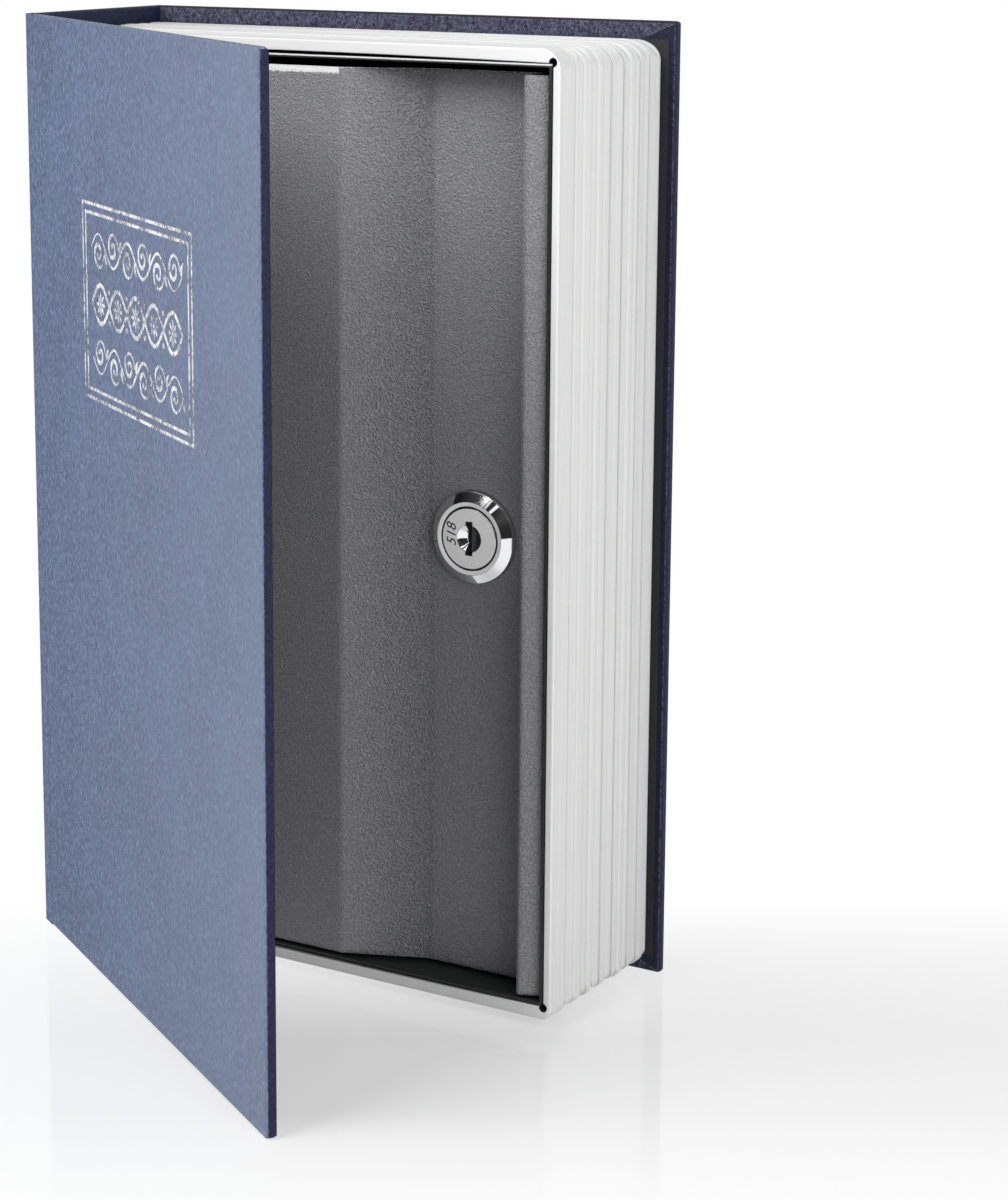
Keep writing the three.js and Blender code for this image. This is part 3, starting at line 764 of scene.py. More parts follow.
def tray_highlight(n, pebbles):
    """A painted highlight along the tray's edge at the head of the opening."""
    low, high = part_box("steel_tray")
    parts = n.add("SeparateXYZ", {"Vector": n.place()}).node
    line = n.ramp(parts.outputs["Z"], high.z - TRAY_EDGE, high.z - TRAY_EDGE + HIGHLIGHT_BLUR / 2)
    return n.times(line, n.ramp(parts.outputs["Y"], low.y + HIGHLIGHT_BLUR, low.y + 2 * HIGHLIGHT_BLUR, 1, 0))


def chrome_material():
    n = Nodes("polished_chrome")
    haze = n.noise(260, detail=3)
    n.set(Base_Color=(0.86, 0.86, 0.87, 1), Metallic=1.0)
    n.set(Roughness=n.ramp(haze, 0.35, 0.7, 0.05, 0.12), Normal=n.bump(haze, 0.05, CHROME_BUMP))
    return n.owner


def zinc_material(name, pattern, dark):
    """Plated zinc over a pattern, which gives its tone and its relief."""
    n = Nodes(name)
    grain = n.noise(2600)
    tone, relief = pattern(n, grain)
    n.set(Base_Color=n.blend(tone, dark, (0.62, 0.63, 0.64)), Normal=relief)
    n.set(Metallic=0.9, Roughness=n.ramp(grain, 0.3, 0.7, 0.3, 0.44))
    return n.owner


def cloudy(n, grain):
    cloud = n.noise(160, detail=4, roughness=0.6)
    return n.ramp(cloud, 0.35, 0.65), n.bump(grain, 0.12, ZINC_BUMP)


def threaded(n, grain):
    """The turns of the barrel's thread."""
    places = {"Vector": n.stretched((0, 1 / THREAD_PITCH, 0)), "Scale": THREAD_WAVES}
    turns = n.add("TexWave", places, output=1, wave_type="BANDS", bands_direction="Y", wave_profile="SIN")
    return turns, n.bump(turns, 1.0, THREAD_PITCH / 3)


def ink_material():
    n = Nodes("black_fill")
    n.set(Base_Color=(0.012, 0.012, 0.013, 1), Roughness=n.ramp(n.noise(3000), 0.3, 0.7, 0.5, 0.7))
    return n.owner


def foil_material():
    """Silver foil, worn through to the cloth in specks."""
    n = Nodes("silver_foil")
    wear = n.noise((2200, 2200, 900), detail=4, roughness=0.7)
    patches = n.noise(160, shift=(4, 4, 4))
    mask = n.ramp(n.total((wear, 0.75), (patches, 0.35)), 0.48, 0.58)
    n.set(Base_Color=n.blend(mask, (0.04, 0.055, 0.1), (0.8, 0.8, 0.79)))
    n.set(Metallic=n.times(mask, 0.4), Roughness=0.4, Normal=n.bump(wear, 0.5, FOIL_BUMP))
    return n.owner


# Pieces of the case
def flap(shape, place):
    """The turned-in cloth of the fore-edge, mitred over the head and tail, in its darkest copy as painted
    shade, with its sloping rim in the lighter turned copy as a painted highlight.
    """
    outer = cover_width - FLAP_INSET
    inner = cover_width - TURN_IN

    def ring(rise, inset):
        corners = [
            (outer - inset, FLAP_HEAD_INSET + inset),
            (outer - inset, height - FLAP_HEAD_INSET - inset),
            (inner + inset, height - FLAP_MITRE - inset),
            (inner + inset, FLAP_MITRE + inset),
        ]
        return [place(u, EDGE_THICKNESS + rise, z) for u, z in corners]

    rings = [ring(-FLAP_RISE, 0), ring(FLAP_RISE / 2, 0), ring(FLAP_RISE, FLAP_RISE * 1.5)]
    shape.loft(rings, FLAP)
    # The last four faces before the two ends are the sloping rim
    shape.looks[-6:-2] = [TURNED] * 4


def cover_slab(place, corners, radii, corner):
    """A covered board with round edges, all in the turned-in cloth until its faces are told apart."""
    shape = Shape()
    rings = []
    for z, gap in end_levels(0, height, COVER_CORNER):
        outline = rounded_outline(corners(fillet(gap, corner)), radii, fillet(gap, EDGE_ROUND), CORNER_STEPS)
        rings.append([place(p.x, p.y, z) for p in outline])
    shape.loft(rings, TURNED)
    return shape


def front_slab():
    start = fold_width + BOARD_GAP

    def corners(trim):
        return rectangle(start, cover_width - trim, 0, EDGE_THICKNESS)

    shape = cover_slab(front_place, corners, [EDGE_ROUND] * 4, COVER_CORNER)
    flap(shape, front_place)
    return shape


def case_slab():
    low = front_y + SPINE_END_GAP
    inner_x = spine_x + EDGE_THICKNESS
    inner_y = back_y - EDGE_THICKNESS

    def corners(trim):
        spine = [(spine_x, low), (inner_x, low), (inner_x, inner_y)]
        end = fore_x - trim
        return spine + [(end, inner_y), (end, back_y), (spine_x, back_y)]

    radii = [EDGE_ROUND, EDGE_ROUND, INNER_CORNER, EDGE_ROUND, EDGE_ROUND, SPINE_CORNER]
    shape = cover_slab(plain_place, corners, radii, CASE_CORNER)
    flap(shape, back_place)
    return shape


def paint_outer_faces(made, outward):
    """The slab's outer faces, fore-edge and two ends each take their own look by the way they face: painted
    light and shade.
    """
    for face in made.data.polygons:
        if face.material_index != TURNED:
            continue
        if max(face.normal.dot(direction) for direction in outward) > OUTWARD_SHARE:
            face.material_index = OUTER
        elif face.normal.x > OUTWARD_SHARE:
            face.material_index = EDGE
        elif abs(face.normal.z) > ENDWARD_SHARE:
            face.material_index = END


def fold_layer(shape, path, low, high):
    """One layer of the joint's cloth, from a level to another."""
    rings = []
    for z, gap in end_levels(low, high, CLOTH / 2):
        outline = sheet_outline(path, CLOTH - 2 * fillet(gap, CLOTH / 2) + WELD)
        rings.append([Vector((p.x, p.y, z)) for p in outline])
    shape.loft(rings)


def fold_piece(path_at, name):
    """A strip of the joint: cloth outside, doubled where it is turned in at head and tail."""
    shape = Shape()
    outer = CLOTH / 2 - SKIN_PROUD
    inner = outer + CLOTH
    fold_layer(shape, path_at(outer), 0, height)
    fold_layer(shape, path_at(inner), 0, TURN_IN)
    fold_layer(shape, path_at(inner), height - TURN_IN, height)
    made = shape.build(name, [outer_cloth])
    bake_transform(made)
    return made


def spine_fold_path(depth):
    """From the spine round its front corner to the middle of the fold."""
    corner_u = (depth - cover_inward.x * depth) / cover_along.x
    corners = [
        Vector((spine_x + depth, front_y + SPINE_LAP)),
        front_place(corner_u, depth, 0).xy,
        front_place(fold_width / 2, depth, 0).xy,
        front_place(fold_width / 2 + SEAM_LAP, depth + SEAM_LAP / 5, 0).xy,
    ]
    bent = bend_path(corners[:3], FOLD_BEND + CLOTH - depth, ROUND_STEPS)
    return bent + corners[3:]


def board_fold_path(depth):
    """From the middle of the fold over the crease and on to the board."""
    start = fold_width / 2 - SEAM_LAP / 4
    end = fold_width + FOLD_LAP
    stops = [start + (end - start) * i / FOLD_STEPS for i in range(FOLD_STEPS + 1)]
    return [front_place(u, depth, 0).xy for u in stops]


def liner_sheet():
    """The paper pasted inside the front cover, sunk where the turned-in cloth ends under it."""
    start = fold_width + LINER_MARGIN
    end = cover_width - LINER_MARGIN
    low, high = LINER_MARGIN, height - LINER_MARGIN
    us = stops_with_edges(start, end, cover_width - TURN_IN, cover_width - TURN_IN)
    zs = stops_with_edges(low, high, TURN_IN, height - TURN_IN)
    rows, back = [], []
    for z in zs:
        rises = [liner_height(u, z, start, end, low, high) for u in us]
        rows.append([front_place(u, EDGE_THICKNESS + rise, z) for u, rise in zip(us, rises)])
        back.append([front_place(u, EDGE_THICKNESS - CLOTH / 4, z) for u in us])
    shape = Shape()
    shape.sheet(rows, back)
    return shape


def stops_with_edges(low, high, first_step, last_step):
    """Stops along a side: close at the two ends and round the steps, wide apart elsewhere."""
    marks = {low, low + LINER_RISE / 2, low + LINER_RISE, high - LINER_RISE, high - LINER_RISE / 2, high}
    for step in (first_step, last_step):
        marks |= {step + LINER_STEP * k / STEP_STOPS for k in range(-STEP_STOPS, STEP_STOPS + 1)}
    marks |= {low + (high - low) * i / LINER_STOPS for i in range(LINER_STOPS + 1)}
    stops = sorted(mark for mark in marks if low <= mark <= high)
    kept = [stops[0]]
    for stop in stops[1:]:
        if stop - kept[-1] > LINER_RISE / 4:
            kept.append(stop)
    kept[-1] = high
    return kept


def smooth_step(value, low, high):
    t = min(max((value - low) / (high - low), 0), 1)
    return t * t * (3 - 2 * t)


def liner_height(u, z, start, end, low, high):
    """How far the liner stands out: round at its edges, sunk inside the flaps, slightly wavy."""
    edge = min(u - start, end - u, z - low, high - z)
    rise = LINER_RISE - fillet(edge, LINER_RISE)
    inside = min(cover_width - TURN_IN - u, z - TURN_IN, height - TURN_IN - z)
    sink = LINER_SINK * smooth_step(inside, -LINER_STEP, LINER_STEP)
    wave = LINER_WAVE * math.sin(u * 95 + 1.3) * math.sin(z * 61 + u * 40)
    return rise - sink + wave * smooth_step(edge, 0, TURN_IN)


def back_paper():
    """The dark paper behind the pages. Its edge shows past their fore-edge."""
    low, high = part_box("back_liner")
    low.z = BACK_PAPER_MARGIN.y
    high.z = height - BACK_PAPER_MARGIN.y
    high.x = fore_x - BACK_PAPER_MARGIN.x
    rings = []
    for y, inset in ((low.y, PAPER_ROUND), (low.y + PAPER_ROUND, 0), (high.y, 0)):
        corners = rectangle(low.x + inset, high.x - inset, low.z + inset, high.z - inset)
        rings.append(upright(corners, y))
    shape = Shape()
    shape.loft(rings)
    place_piece(shape.build("back_paper", [paper]), "root", "liner", "back_liner")


# The moulded block of pages
def leaf_stations(rng):
    """Stations of (y, inset) from the front of the block to its back."""
    depth = page_high.y - page_low.y
    rises = edge_rises(PAGE_EDGE_ROUND)
    stations = [(page_low.y + rise, fillet(rise, PAGE_EDGE_ROUND)) for rise in rises]
    begin = page_low.y + PAGE_EDGE_ROUND
    for i, (end_share, back_share, groove_share) in enumerate(BUNDLE_SHARES):
        level = back_share * PAGE_GROOVE
        last = i == len(BUNDLE_SHARES) - 1
        end = page_low.y + end_share * depth - (0 if last else PAGE_GROOVE_WIDTH / 2)
        leaves = max(1, round((end - begin) / LEAF_PITCH))
        for k in range(1, leaves):
            y = begin + (end - begin) * (k + rng.uniform(-0.25, 0.25)) / leaves
            cut = LEAF_DEPTH * rng.uniform(0.35, 1)
            stations += [(y - LEAF_CREASE, level), (y, level + cut), (y + LEAF_CREASE, level)]
        stations.append((end, level))
        if not last:
            next_level = BUNDLE_SHARES[i + 1][1] * PAGE_GROOVE
            middle = end + PAGE_GROOVE_WIDTH / 2
            stations.append((middle, level + groove_share * PAGE_GROOVE))
            begin = middle + PAGE_GROOVE_WIDTH / 2
            stations.append((begin, next_level))
    return stations


def page_ring(y, inset):
    """The block's outline at one depth. Its head corner is drawn out more the further back it is."""
    rise_share = inset / PAGE_GROOVE
    low = Vector((page_low.x + PAGE_STAGGER * rise_share, page_low.z + PAGE_TAIL_STAGGER * rise_share))
    high = Vector((page_high.x - inset, page_high.z - inset))
    tail = PAGE_TAIL_CORNER - inset
    rise = PAGE_CORNER - inset
    back_share = (y - page_low.y) / (page_high.y - page_low.y)
    waves = [math.sin(2 * math.pi * y / pitch) for pitch in PAGE_CORNER_PITCH]
    wave = PAGE_CORNER_WAVE * smooth_step(back_share, PAGE_CORNER_CALM, 3 * PAGE_CORNER_CALM)
    reach = (PAGE_CORNER_REACH - PAGE_CORNER) * back_share + wave * sum(waves) / len(waves)
    stretch = (rise + reach) / rise
    quarter = math.pi / 2
    points = [low]
    points += arc(Vector((high.x - tail, low.y + tail)), tail, -quarter, 0, PAGE_CORNER_STEPS)
    for point in arc(Vector((high.x - rise, high.y - rise)), rise, 0, quarter, PAGE_CORNER_STEPS):
        points.append(Vector((high.x - (high.x - point.x) * stretch, point.y)))
    points.append(Vector((low.x, high.y)))
    return upright(points, y)


def page_mouth(looks):
    """What is cut from the block: the room for the tray, with a round front edge and relieved corners."""
    x0 = page_low.x + PAGE_SPINE_WALL
    x1 = page_high.x - PAGE_FORE_WALL
    z0 = page_low.z + PAGE_WALL
    z1 = page_high.z - PAGE_WALL

    def ring(y, spread):
        along = [i / MOUTH_STEPS for i in range(MOUTH_STEPS + 1)]
        bows = [PAGE_MOUTH_BOW * (4 * t * (1 - t) - 1 / 3) for t in along]
        xs = [x0 - spread + (x1 - x0 + 2 * spread) * t for t in along]
        tail = [Vector((x, z0 - spread - bow)) for x, bow in zip(xs, bows)]
        head = [Vector((x, z1 + spread + bow)) for x, bow in zip(xs, bows)]
        return upright(tail + head[::-1], y)

    box = Shape()
    rings = [ring(page_low.y - CUT_OVERRUN, PAGE_MOUTH_ROUND)]
    for i in range(ROUND_STEPS + 1):
        gap = PAGE_MOUTH_ROUND * i / ROUND_STEPS
        rings.append(ring(page_low.y + gap, fillet(gap, PAGE_MOUTH_ROUND)))
    rings.append(ring(page_high.y + CUT_OVERRUN, 0))
    box.loft(rings)
    cutters = [box.build("page_mouth", looks)]
    for z in (z0, z1):
        relief = Shape()
        circle = arc(Vector((x1, z)), PAGE_RELIEF_RADIUS, 0, 2 * math.pi, 4 * CORNER_STEPS)[1:]
        ends = (page_low.y - CUT_OVERRUN, page_low.y + PAGE_RELIEF_DEPTH)
        # The relief's walls take the second look, the near-black page_shadow: painted shade
        relief.loft([upright(circle, y) for y in ends], 1)
        cutters.append(relief.build("page_relief", looks))
    return cutters


def cut(made, cutters, overlapping=False):
    """Cuts solids away and deletes them. A mesh whose own solids overlap is made one."""
    made.modifiers.clear()
    for cutter in cutters:
        cutter.modifiers.clear()
        boolean = made.modifiers.new("cut", "BOOLEAN")
        boolean.operation = "DIFFERENCE"
        boolean.solver = "EXACT"
        boolean.use_self = overlapping
        boolean.object = cutter
    result = evaluated_mesh(made)
    made.modifiers.clear()
    made.data = result
    for cutter in cutters:
        bpy.data.objects.remove(cutter)
    smooth(made)


def board_room(name):
    """A copy of a board, to cut its room out of the cloth that wraps it."""
    mesh = nodes[name].data.copy()
    weld(mesh)
    return link("board_room", mesh)


def page_block():
    shape = Shape()
    shape.loft([page_ring(y, inset) for y, inset in leaf_stations(random.Random(7))])
    looks = [pages, page_shadow]
    made = shape.build("pages", looks)
    cut(made, page_mouth(looks))
    place_piece(made, "root", "pages", "page_block")


# The foil stamped on the front cover
def ribbon(shape, line, widths):
    """A flat line of foil on the cover through points (u, z), with its width at each."""
    rows, back = [], []
    for i, point in enumerate(line):
        run = (line[min(i + 1, len(line) - 1)] - line[max(i - 1, 0)]).normalized()
        side = Vector((-run.y, run.x)) * widths[i] / 2
        ends = (point + side, point - side)
        rows.append([front_place(p.x, -FOIL_PROUD, p.y) for p in ends])
        back.append([front_place(p.x, FOIL_PROUD, p.y) for p in ends])
    shape.sheet(rows, back)


def frame_line(shape, inset):
    """One closed line of the frame."""
    u0, u1 = FOIL_LEFT + inset, FOIL_RIGHT - inset
    z0, z1 = FOIL_LOW + inset, FOIL_HIGH - inset
    half = FOIL_LINE / 2
    sides = [
        ((u0 - half, z0), (u1 + half, z0)),
        ((u0 - half, z1), (u1 + half, z1)),
        ((u0, z0 + half), (u0, z1 - half)),
        ((u1, z0 + half), (u1, z1 - half)),
    ]
    for start, end in sides:
        ribbon(shape, [Vector(start), Vector(end)], [FOIL_LINE] * 2)


def swelling(count, thick, thin):
    return [thin + (thick - thin) * math.sin(math.pi * i / (count - 1)) for i in range(count)]


def dot(shape, centre, radius):
    """A round dot of foil, as a ribbon that swells and narrows again."""
    turns = [math.pi * i / DOT_STEPS for i in range(DOT_STEPS + 1)]
    line = [centre - Vector((radius * math.cos(turn), 0)) for turn in turns]
    ribbon(shape, line, [2 * radius * math.sin(turn) + WELD for turn in turns])


def leaf(shape, root, angle, length, thick, curl):
    """A leaf of foil from its root, pointed at both ends and curling to one side."""
    line, widths = [], []
    for i in range(LEAF_STEPS + 1):
        t = i / LEAF_STEPS
        turned = angle + curl * t
        line.append(root + toward(turned) * length * t)
        widths.append(thick * math.sin(math.pi * t**LEAF_BELLY) + WELD)
    ribbon(shape, line, widths)


def volute(shape, centre, radius, turn):
    """A stroke that winds in from the rim to a dot near the centre."""
    line = []
    for i in range(VOLUTE_STEPS + 1):
        t = i / VOLUTE_STEPS
        line.append(centre + toward(turn * t) * radius * (1 - VOLUTE_SHRINK * t))
    ribbon(shape, line, swelling(len(line), STROKE, STROKE_END))
    dot(shape, line[-1], STROKE * DOT_SHARE)


def row_place(along, count, z):
    """A point in a row of the ornament, so many of its pitches from the left."""
    start = (FOIL_LEFT + FOIL_RIGHT - ORNAMENT_WIDTH) / 2
    return Vector((start + along * (ORNAMENT_WIDTH / count), z))


def wave_line(count, level, rise):
    """A wavy line along a row, with half a wave to each pitch."""
    steps = count * VOLUTE_STEPS // 2
    stops = [i * count / steps for i in range(steps + 1)]
    return [row_place(along, count, level + rise * math.sin(math.pi * along)) for along in stops]


def running_scroll(shape, level, way):
    """A wavy stem with a volute in each bend and a leaf where it crosses its middle line."""
    pitch = ORNAMENT_WIDTH / SCROLL_COUNT
    stem = wave_line(SCROLL_COUNT, level, way * SCROLL_RISE)
    ribbon(shape, stem, swelling(len(stem), STROKE_STEM, STROKE_END))
    for k in range(SCROLL_COUNT):
        side = way * (-1) ** k
        centre = row_place(k + 0.5, SCROLL_COUNT, level - side * SCROLL_RISE / 3)
        volute(shape, centre, pitch * VOLUTE_SHARE, -side * VOLUTE_TURN)
        root = row_place(k + 1, SCROLL_COUNT, level)
        leaf(shape, root, -side * LEAF_TURN, pitch * LEAF_SHARE, STROKE * LEAF_WIDE_SHARE, side * LEAF_CURL)


def rosette(shape, centre):
    """Pointed petals round a dot."""
    for k in range(PETAL_COUNT):
        angle = 2 * math.pi * k / PETAL_COUNT
        root = centre + toward(angle) * STROKE * PETAL_ROOT_SHARE
        leaf(shape, root, angle, PETAL_LENGTH, STROKE * PETAL_WIDE_SHARE, 0)
    dot(shape, centre, STROKE * ROSETTE_DOT_SHARE)


def interlaced_row(shape, level):
    """Two waves that cross again and again, a rosette in each eye and dots outside the crossings."""
    for way in (-1, 1):
        strand = wave_line(EYE_COUNT, level, way * EYE_RISE)
        ribbon(shape, strand, [STROKE] * len(strand))
        for k in range(1, EYE_COUNT):
            z = level + way * EYE_RISE * ROW_DOT_SHARE
            dot(shape, row_place(k, EYE_COUNT, z), STROKE * DOT_SHARE)
    for k in range(EYE_COUNT):
        rosette(shape, row_place(k + 0.5, EYE_COUNT, level))


def foil_stamp():
    shape = Shape()
    frame_line(shape, 0)
    frame_line(shape, FOIL_PITCH)
    level = (FOIL_LOW + FOIL_HIGH) / 2
    running_scroll(shape, level + ORNAMENT_ROW, 1)
    interlaced_row(shape, level)
    running_scroll(shape, level - ORNAMENT_ROW, -1)
    place_piece(shape.build("foil_stamp", [foil_material()]), "front_cover", "foil")


# The lock: a turned body and plug, on the axis of the lock's joint
def lock_ring(radius, depth):
    """A circle round the lock's axis, at a depth behind the front of the recess."""
    return upright(arc(lock_axis.xz, radius, 0, 2 * math.pi, LOCK_STEPS)[1:], lock_front + depth)


def lock_square(half, depth):
    """A square of as many points as the circles, at the same angles."""
    points = []
    for place in lock_ring(1, depth):
        out = place - lock_axis
        reach = max(abs(out.x), abs(out.z))
        x = lock_axis.x + out.x * half / reach
        points.append(Vector((x, place.y, lock_axis.z + out.z * half / reach)))
    return points


def lock_box(half_width, half_height, near, far, materials, look):
    """A box on the lock's axis, to cut with."""
    x, z = lock_axis.xz
    corners = rectangle(x - half_width, x + half_width, z - half_height, z + half_height)
    shape = Shape()
    shape.loft([upright(corners, lock_front + depth) for depth in (near, far)], look)
    return shape.build("cutter", materials)


def bezel_corner(radius, depth, from_angle, to_angle):
    """A round corner of the bezel, as stations in chrome."""
    centre = Vector((radius - BEZEL_ROUND, depth + BEZEL_ROUND))
    return [(*point, 0) for point in arc(centre, BEZEL_ROUND, from_angle, to_angle, ROUND_STEPS)]


def lock_body():
    """Satin front ring, polished cone and a threaded barrel with two flats."""
    face = -BEZEL_HEIGHT
    seat = face + PLUG_DEPTH + PLUG_GAP
    down = math.radians(-90)
    cone = math.atan2(BEZEL_HEIGHT - BEZEL_RIM - LOCK_SEAT, BEZEL_RADIUS - BEZEL_FACE_RADIUS)
    # Each station is a radius, a depth and the look of the band that starts there
    stations = [
        (FACE_BORE, face + BEZEL_ROUND, 1),
        (FACE_BORE + BEZEL_ROUND, face, 1),
        *bezel_corner(BEZEL_FACE_RADIUS, face, down, cone + down),
        *bezel_corner(BEZEL_RADIUS, -LOCK_SEAT - BEZEL_RIM, cone + down, 0),
        (BEZEL_RADIUS, -LOCK_SEAT, 2),
        (BARREL_RADIUS, -LOCK_SEAT, 3),
        (BARREL_RADIUS, BARREL_LENGTH, 2),
        (SHANK_BORE, BARREL_LENGTH, 4),
        (SHANK_BORE, seat, 4),
        (FACE_BORE, seat, 4),
    ]
    materials = [chrome, ring_satin, zinc, thread, dark_metal]
    shape = Shape()
    rings = [lock_ring(radius, depth) for radius, depth, look in stations]
    shape.turned(rings, [look for radius, depth, look in stations])
    made = shape.build("lock_bezel", materials)
    wide = (BEZEL_RADIUS - BARREL_FLAT / 2) / 2
    cutters = []
    for side in (-1, 1):
        cutter = lock_box(wide, BEZEL_RADIUS, -LOCK_SEAT / 2, BARREL_LENGTH + LOCK_SEAT, materials, 2)
        cutter.data.transform(Matrix.Translation((side * (BARREL_FLAT / 2 + wide), 0, 0)))
        cutters.append(cutter)
    cut(made, cutters)
    place_piece(made, "door", "chrome", "lock_body")


def lock_plug():
    """The plug's satin disc with its dish and keyway, the shank and the square for the cam."""
    face = -BEZEL_HEIGHT
    half = PLUG_SQUARE / 2
    stations = [
        (0, face + DISH_DEPTH, 1),
        (DISH_FLOOR, face + DISH_DEPTH, 1),
        (DISH_RADIUS, face + PLUG_CHAMFER / 2, 1),
        (DISH_RADIUS + PLUG_CHAMFER / 2, face, 0),
        (PLUG_RADIUS - PLUG_CHAMFER, face, 1),
        (PLUG_RADIUS, face + PLUG_CHAMFER, 2),
        (PLUG_RADIUS, face + PLUG_DEPTH, 2),
        (PLUG_SHANK, face + PLUG_DEPTH, 2),
        (PLUG_SHANK, BARREL_LENGTH, 3),
    ]
    rings = [lock_ring(radius, depth) for radius, depth, look in stations]
    rings += [lock_square(half, BARREL_LENGTH), lock_square(half, PLUG_END)]
    rings += [lock_ring(SCREW_HOLE, PLUG_END), lock_ring(SCREW_HOLE, PLUG_END - SCREW_DEPTH)]
    rings.append(lock_ring(0, PLUG_END - SCREW_DEPTH))
    shape = Shape()
    shape.turned(rings, [look for radius, depth, look in stations] + [3] * 4)
    materials = [satin, chrome, dark_metal, zinc]
    made = shape.build("lock_plug_face", materials)
    ends = (face - CUT_OVERRUN, face + KEYWAY_DEPTH)
    cut(made, [lock_box(KEYWAY_WIDTH / 2, KEYWAY_HEIGHT / 2, *ends, materials, 2)])
    place_piece(made, "lock_core", "chrome", "lock_plug")


def lock_number():
    """A plain figure stamped beside the keyway."""
    text = bpy.data.curves.new("number", "FONT")
    text.body = NUMBER
    text.size = NUMBER_SIZE
    text.shear = NUMBER_SHEAR
    text.align_x = "CENTER"
    text.align_y = "CENTER"
    text.extrude = NUMBER_PROUD
    figure = link("lock_number", text)
    figure.rotation_euler = (math.pi / 2, -math.pi / 2, 0)
    figure.location = (lock_axis.x - NUMBER_OFFSET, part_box("lock_plug")[0].y, lock_axis.z + NUMBER_RISE)
    bpy.context.view_layer.update()
    mesh = evaluated_mesh(figure)
    mesh.transform(figure.matrix_world)
    bpy.data.objects.remove(figure)
    mesh.materials.clear()
    mesh.materials.append(ink_material())
    place_piece(link("lock_number", mesh), "lock_core", "chrome")


# The room: dark cards for the polished metal, floor, white background, lamps and camera
def stage_face(name, corners, material):
    """A flat face that isn't part of the object."""
    mesh = bpy.data.meshes.new(name)
    mesh.from_pydata(corners, [], [(0, 1, 2, 3)])
    mesh.materials.append(material)
    made = link(name, mesh)
    return made


def dark_card(name, first, last):
    """A dark strip behind the camera that only reflections show, between two directions from the lock."""
    start = Vector(first).normalized()
    end = Vector(last).normalized()
    middle = (start + end).normalized()
    wide = middle.cross(end - start).normalized() * CARD_WIDTH / 2
    low, high = [lock_axis + way * CARD_AWAY / way.dot(middle) for way in (start, end)]
    n = Nodes(name)
    n.set(Base_Color=(0.01, 0.01, 0.01, 1), Roughness=1.0)
    made = stage_face(name, [low - wide, high - wide, high + wide, low + wide], n.owner)
    made.visible_camera = False
    made.visible_diffuse = False
    made.visible_shadow = False


def floor():
    """A pale floor that fades to white away from the object, but only to the camera and in reflections."""
    n = Nodes("floor")
    n.set(Base_Color=(0.9, 0.9, 0.9, 1), Roughness=0.06, Specular_IOR_Level=0.5)
    ahead = n.along((-math.sin(CAMERA_YAW), math.cos(CAMERA_YAW), 0))
    across = n.along((math.cos(CAMERA_YAW), math.sin(CAMERA_YAW), 0))
    middle, near, far = FLOOR_SIDES
    aside = n.math("ABSOLUTE", n.math("SUBTRACT", across, middle))
    fade = n.ramp(aside, near, far, *FLOOR_GLOW)
    for span in (FLOOR_BACK, FLOOR_FRONT):
        fade = n.most(fade, n.ramp(ahead, *span, *FLOOR_GLOW))
    rays = n.add("LightPath").node.outputs
    seen = n.most(rays["Is Camera Ray"], rays["Is Glossy Ray"])
    n.mix_in(n.times(seen, fade), n.add("Emission", {"Color": (1, 1, 1, 1), "Strength": 1.0}))
    reach = FLOOR_SIZE / 2
    stage_face("floor", [(*corner, 0) for corner in rectangle(-reach, reach, -reach, reach)], n.owner)


def background():
    """White to the camera and in reflections, and a dim light on the object."""
    n = Nodes("studio", "worlds", "Background")
    bpy.context.scene.world = n.owner
    n.set(Color=(1, 1, 1, 1), Strength=ROOM_LIGHT)
    rays = n.add("LightPath").node.outputs
    seen = n.most(n.most(rays["Is Camera Ray"], rays["Is Glossy Ray"]), rays["Is Transmission Ray"])
    n.mix_in(seen, n.add("Background", {"Color": (1, 1, 1, 1), "Strength": 1.0}))


def lamp(name, place, target, size, power):
    data = bpy.data.lights.new(name, "AREA")
    data.shape = "RECTANGLE"
    data.size, data.size_y = size
    data.energy = power
    made = link(name, data)
    made.location = place
    made.rotation_euler = (Vector(target) - Vector(place)).to_track_quat("-Z", "Y").to_euler()


def camera():
    data = bpy.data.cameras.new("camera")
    data.lens = CAMERA_LENS
    data.sensor_width = CAMERA_SENSOR
    data.shift_x, data.shift_y = CAMERA_SHIFT
    made = link("camera", data)
    made.location = CAMERA_PLACE
    made.rotation_euler = (math.pi / 2 - CAMERA_PITCH, 0, CAMERA_YAW)
    bpy.context.scene.camera = made
    bpy.context.scene.view_settings.view_transform = "Standard"


# Build everything
outer_cloth = cloth_material(
    "outer_cloth", (0.007, 0.025, 0.083), (0.053, 0.102, 0.23), (0.25, 0.33, 0.48), (0.22, 0.255, 0.36), 0.12,
)
# Lighter and darker copies of the cloth for the turned-in parts, the fore-edges and the ends: painted light
# and shade by the way each faces
turned_cloth = cloth_copy_material("turned_cloth", (0.008, 0.008, 0.026), (0.14, 0.14, 0.22))
flap_cloth = cloth_copy_material("flap_cloth", (0.003, 0.004, 0.014), (0.012, 0.015, 0.05))
edge_cloth = cloth_copy_material("edge_cloth", (0.005, 0.008, 0.026), (0.02, 0.027, 0.08))
head_cloth = cloth_copy_material("head_cloth", (0.001, 0.001, 0.003), (0.012, 0.013, 0.026))
pale_end_cloth = cloth_copy_material("pale_end_cloth", (0.03, 0.05, 0.1), (0.34, 0.38, 0.46))
paper = paper_material()
board = speckled_material(
    "grey_board", (0.26, 0.22, 0.17), (0.4, 0.35, 0.28), 0.9, (900, 5, 0.75), relief=(0.4, BOARD_BUMP),
)
pages = page_material()
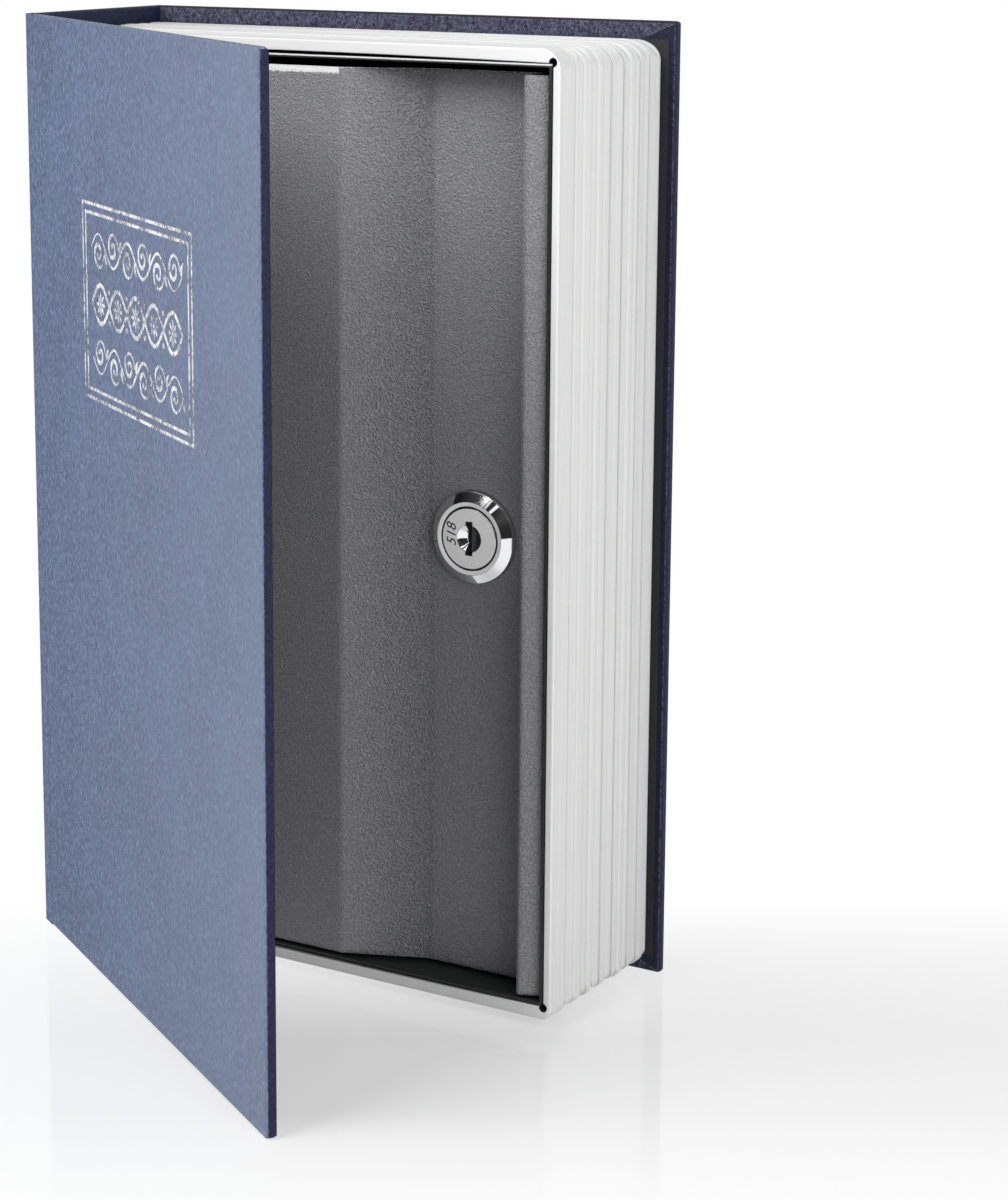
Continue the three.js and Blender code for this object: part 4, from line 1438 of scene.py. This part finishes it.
# Near-black plastic for the relieved corners of the mouth: painted shade
page_shadow = speckled_material(
    "page_shadow", (0.01, 0.01, 0.011), (0.03, 0.03, 0.032), 0.6, (700,), span=(0, 1),
)
door_paint = hammer_material("door_paint", (0.18, 0.18, 0.19), (0.31, 0.31, 0.325), door_grain, door_highlight)
tray_paint = hammer_material(
    "tray_paint", (0.012, 0.013, 0.013), (0.018, 0.019, 0.019), lambda n: TRAY_GRAIN, tray_highlight,
)
chrome = chrome_material()
satin = satin_material("satin_face", (0.9, 0.89, 0.895))
ring_satin = satin_material("satin_ring", (0.97, 0.97, 0.97))
dark_metal = speckled_material(
    "dark_metal", (0.02, 0.02, 0.021), (0.06, 0.055, 0.05), 0.45, (1800,), metallic=0.4,
)
zinc = zinc_material("zinc_plate", cloudy, (0.46, 0.46, 0.45))
thread = zinc_material("threaded_zinc", threaded, (0.3, 0.3, 0.3))

cloths = [outer_cloth, turned_cloth, flap_cloth, edge_cloth]
front = front_slab().build("front_cover_cloth", [*cloths, pale_end_cloth])
paint_outer_faces(front, [-Vector((cover_inward.x, cover_inward.y, 0))])
cut(front, [board_room("front_board")], overlapping=True)
place_piece(front, "front_cover", "cover_cloth", "front_cloth")

case = case_slab().build("case_outer_cloth", [*cloths, head_cloth])
paint_outer_faces(case, [Vector((-1, 0, 0)), Vector((0, 1, 0))])
cut(case, [board_room("back_board"), board_room("spine_board")], overlapping=True)
place_piece(case, "root", "cover_cloth", "case_cloth")

spine_fold = fold_piece(
    spine_fold_path, "spine_fold",
)
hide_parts("front_fold_cloth")
fold_piece(
    board_fold_path, "board_fold",
)

place_piece(liner_sheet().build("front_paper", [paper]), "front_cover", "liner", "front_liner")
back_paper()
page_block()
foil_stamp()
lock_body()
lock_plug()
lock_number()

for name in ("back_board", "spine_board", "front_board"):
    dress_node(name, board)
dress_node("spine_liner", paper)
for name in ("steel_tray", "hinge_leaf", "strike_bracket"):
    dress_node(name, tray_paint, TRAY_ROUND)
dress_node("door_panel", door_paint, DOOR_ROUND)
for name in ("hinge_pin", "lock_washer", "lock_nut", "keyway_shutter", "lock_cam", "cam_washer", "cam_screw"):
    dress_node(name, zinc, ZINC_ROUND)

for name, first, last in CARDS:
    dark_card(name, first, last)
floor()
background()
for name, place, target, size, power in LAMPS:
    lamp(name, place, target, size, power)
camera()
